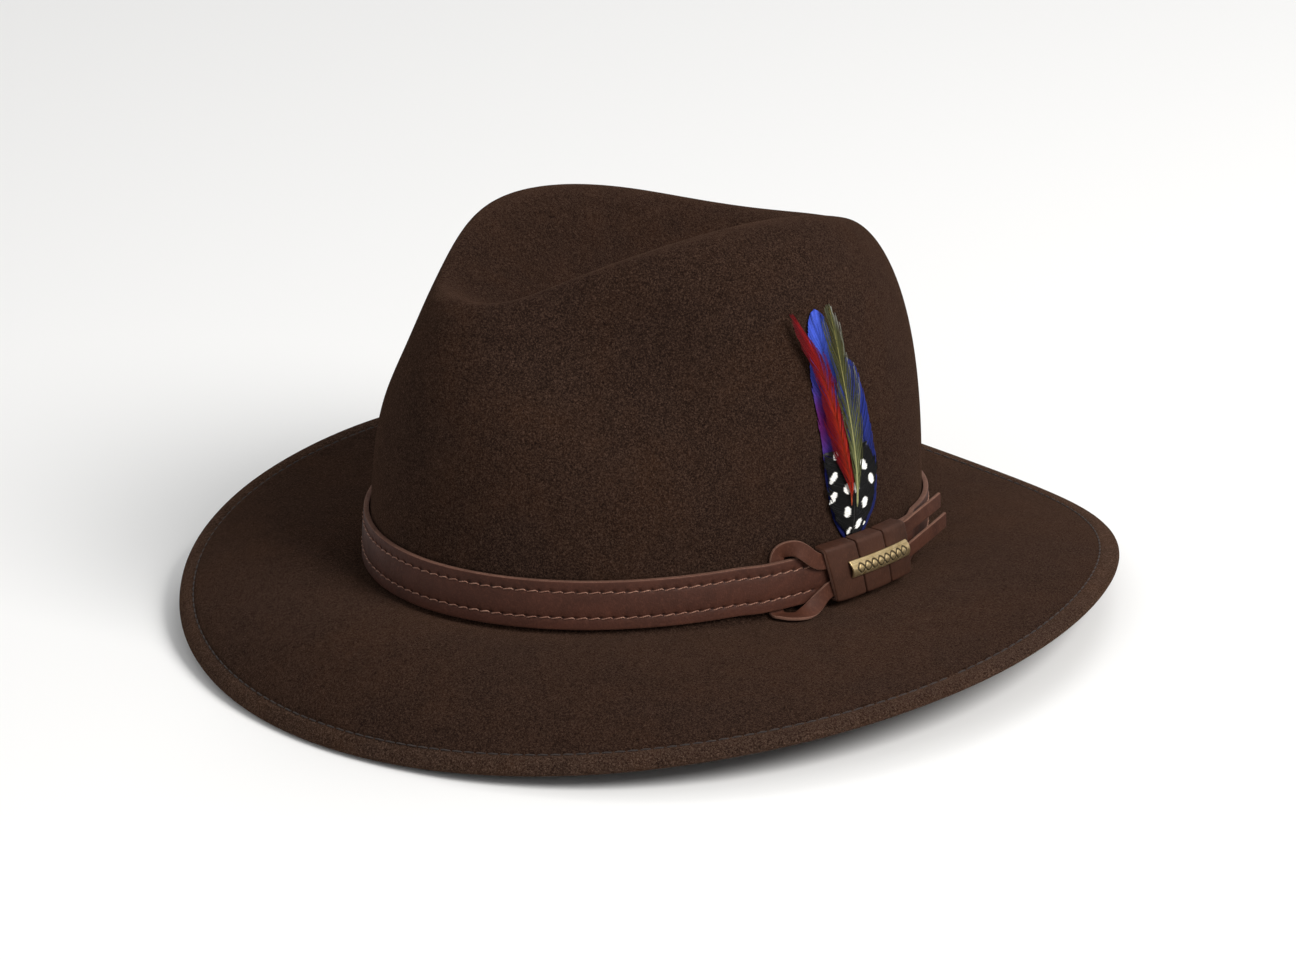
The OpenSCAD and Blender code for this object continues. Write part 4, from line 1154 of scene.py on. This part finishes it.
def satin_material(name, base, dark, light):
    m, t, sh, where = material(
        name, Roughness=0.34, Sheen_Weight=0.25, Anisotropic=0.5, Specular_IOR_Level=0.55)
    weave = noise(t, where, 2200, 2, 0.5)
    tone = noise(t, where, 45, 3, 0.5, 0.6)
    layers = [(tone, (0.35, 0.0), (0.7, 1.0), dark), (weave, (0.5, 0.0), (0.8, 0.4), light)]
    paint(t, sh, base, layers, [(tone, 0.0015, 0.35), (weave, 0.00005, 0.5)])
    return m


satin = satin_material("lining_satin", (98, 66, 44), (72, 46, 30), (140, 104, 76))

LINING_PHI, SEAM_PHI, PLEATS = 15.5, 41.3, 64


def lining(phi_from, phi_to, depth, pole):
    rows = [i for i in range(N_CROWN) if phi_from <= phi_rows[i] <= phi_to]
    k = np.linspace(0, 1, len(rows))[None, :]
    gather = depth * (0.5 + 0.5 * np.cos(rad(A) * PLEATS + 1.3 * noise1(A, 41))) * (0.35 + 0.65 * k)
    gather = gather * (1 + 0.4 * noise1(A * 3, 43))
    near, normal = outer[:, rows], outer_n[:, rows]
    outside = near - normal * (LINING_GAP + gather)[..., None]
    inside = near - normal * (LINING_GAP + gather + LINING_T)[..., None]
    loops = np.concatenate([outside, inside[:, ::-1]], 1)
    if not pole:
        return loft(loops, ring=True)
    return domed(loops, [top - (0, 0, LINING_GAP), top - (0, 0, LINING_GAP + LINING_T)])


side_obj = piece("lining_side", lining(LINING_PHI, SEAM_PHI - 0.3, 0.9, False), [satin], sharp=60)
tip_obj = piece("lining_tip", lining(SEAM_PHI + 0.2, 90, 0.0, True), [satin], sharp=60)

# ---- floor, light and camera ----


def floor():
    me = bpy.data.meshes.new("floor")
    s = 6.0
    me.from_pydata([(-s, -s, 0), (s, -s, 0), (s, s, 0), (-s, s, 0)], [], [(0, 1, 2, 3)])
    m, _, sh, _ = material("floor_paint", Roughness=0.85)
    sh.inputs["Base Color"].default_value = (0.86, 0.86, 0.855, 1)
    me.materials.append(m)
    o = placed("floor", me)
    o.location.z = -0.0005


floor()

AZ, EL, ROLL = 48.6, 17.832, -2.105
DISTANCE, SHIFT_U, SHIFT_V = 1942.434, -0.182, 23.307
LENS, SENSOR = 152.431222, 36.0


def direction(azimuth, elevation):
    a, e = math.radians(azimuth), math.radians(elevation)
    return np.array([math.sin(a) * math.cos(e), -math.cos(a) * math.cos(e), math.sin(e)])


def camera():
    back, right = direction(AZ, EL), direction(AZ + 90, 0)
    up = np.cross(back, right)
    place = back * DISTANCE + right * SHIFT_U + up * SHIFT_V
    c, s = math.cos(math.radians(ROLL)), math.sin(math.radians(ROLL))
    axes = stand([right * c - up * s, right * s + up * c, back]) - stand([0, 0, 0])
    cam = bpy.data.cameras.new("camera")
    cam.sensor_width = SENSOR
    cam.lens = LENS
    cam.clip_end = 50
    o = placed("camera", cam)
    o.rotation_mode = "QUATERNION"
    o.rotation_quaternion = Matrix((axes.T / MM).tolist()).to_quaternion()
    o.location = Vector(stand(place))
    bpy.context.scene.camera = o


camera()


def area(name, azimuth, elevation, distance, size, power, colour=(1, 1, 1)):
    light = bpy.data.lights.new(name, "AREA")
    light.shape = "DISK"
    light.size = size
    light.energy = power
    light.color = colour
    o = placed(name, light)
    back = Vector(direction(azimuth, elevation))
    o.location = back * distance + Vector((0, 0, 0.07))
    o.rotation_mode = "QUATERNION"
    o.rotation_quaternion = (-back).to_track_quat("-Z", "Y")


area("key", 98, 38, 2.2, 1.1, 50, (1.0, 0.985, 0.965))
area("fill", 10, 34, 2.4, 1.6, 5, (0.97, 0.985, 1.0))
area("rim", 200, 50, 2.4, 1.2, 9)

world = bpy.data.worlds.new("studio")
bpy.context.scene.world = world
world.use_nodes = True
sky = world.node_tree.nodes["Background"]
sky.inputs["Color"].default_value = (1, 1, 1, 1)
sky.inputs["Strength"].default_value = 0.5
bpy.context.scene.view_settings.view_transform = "Standard"
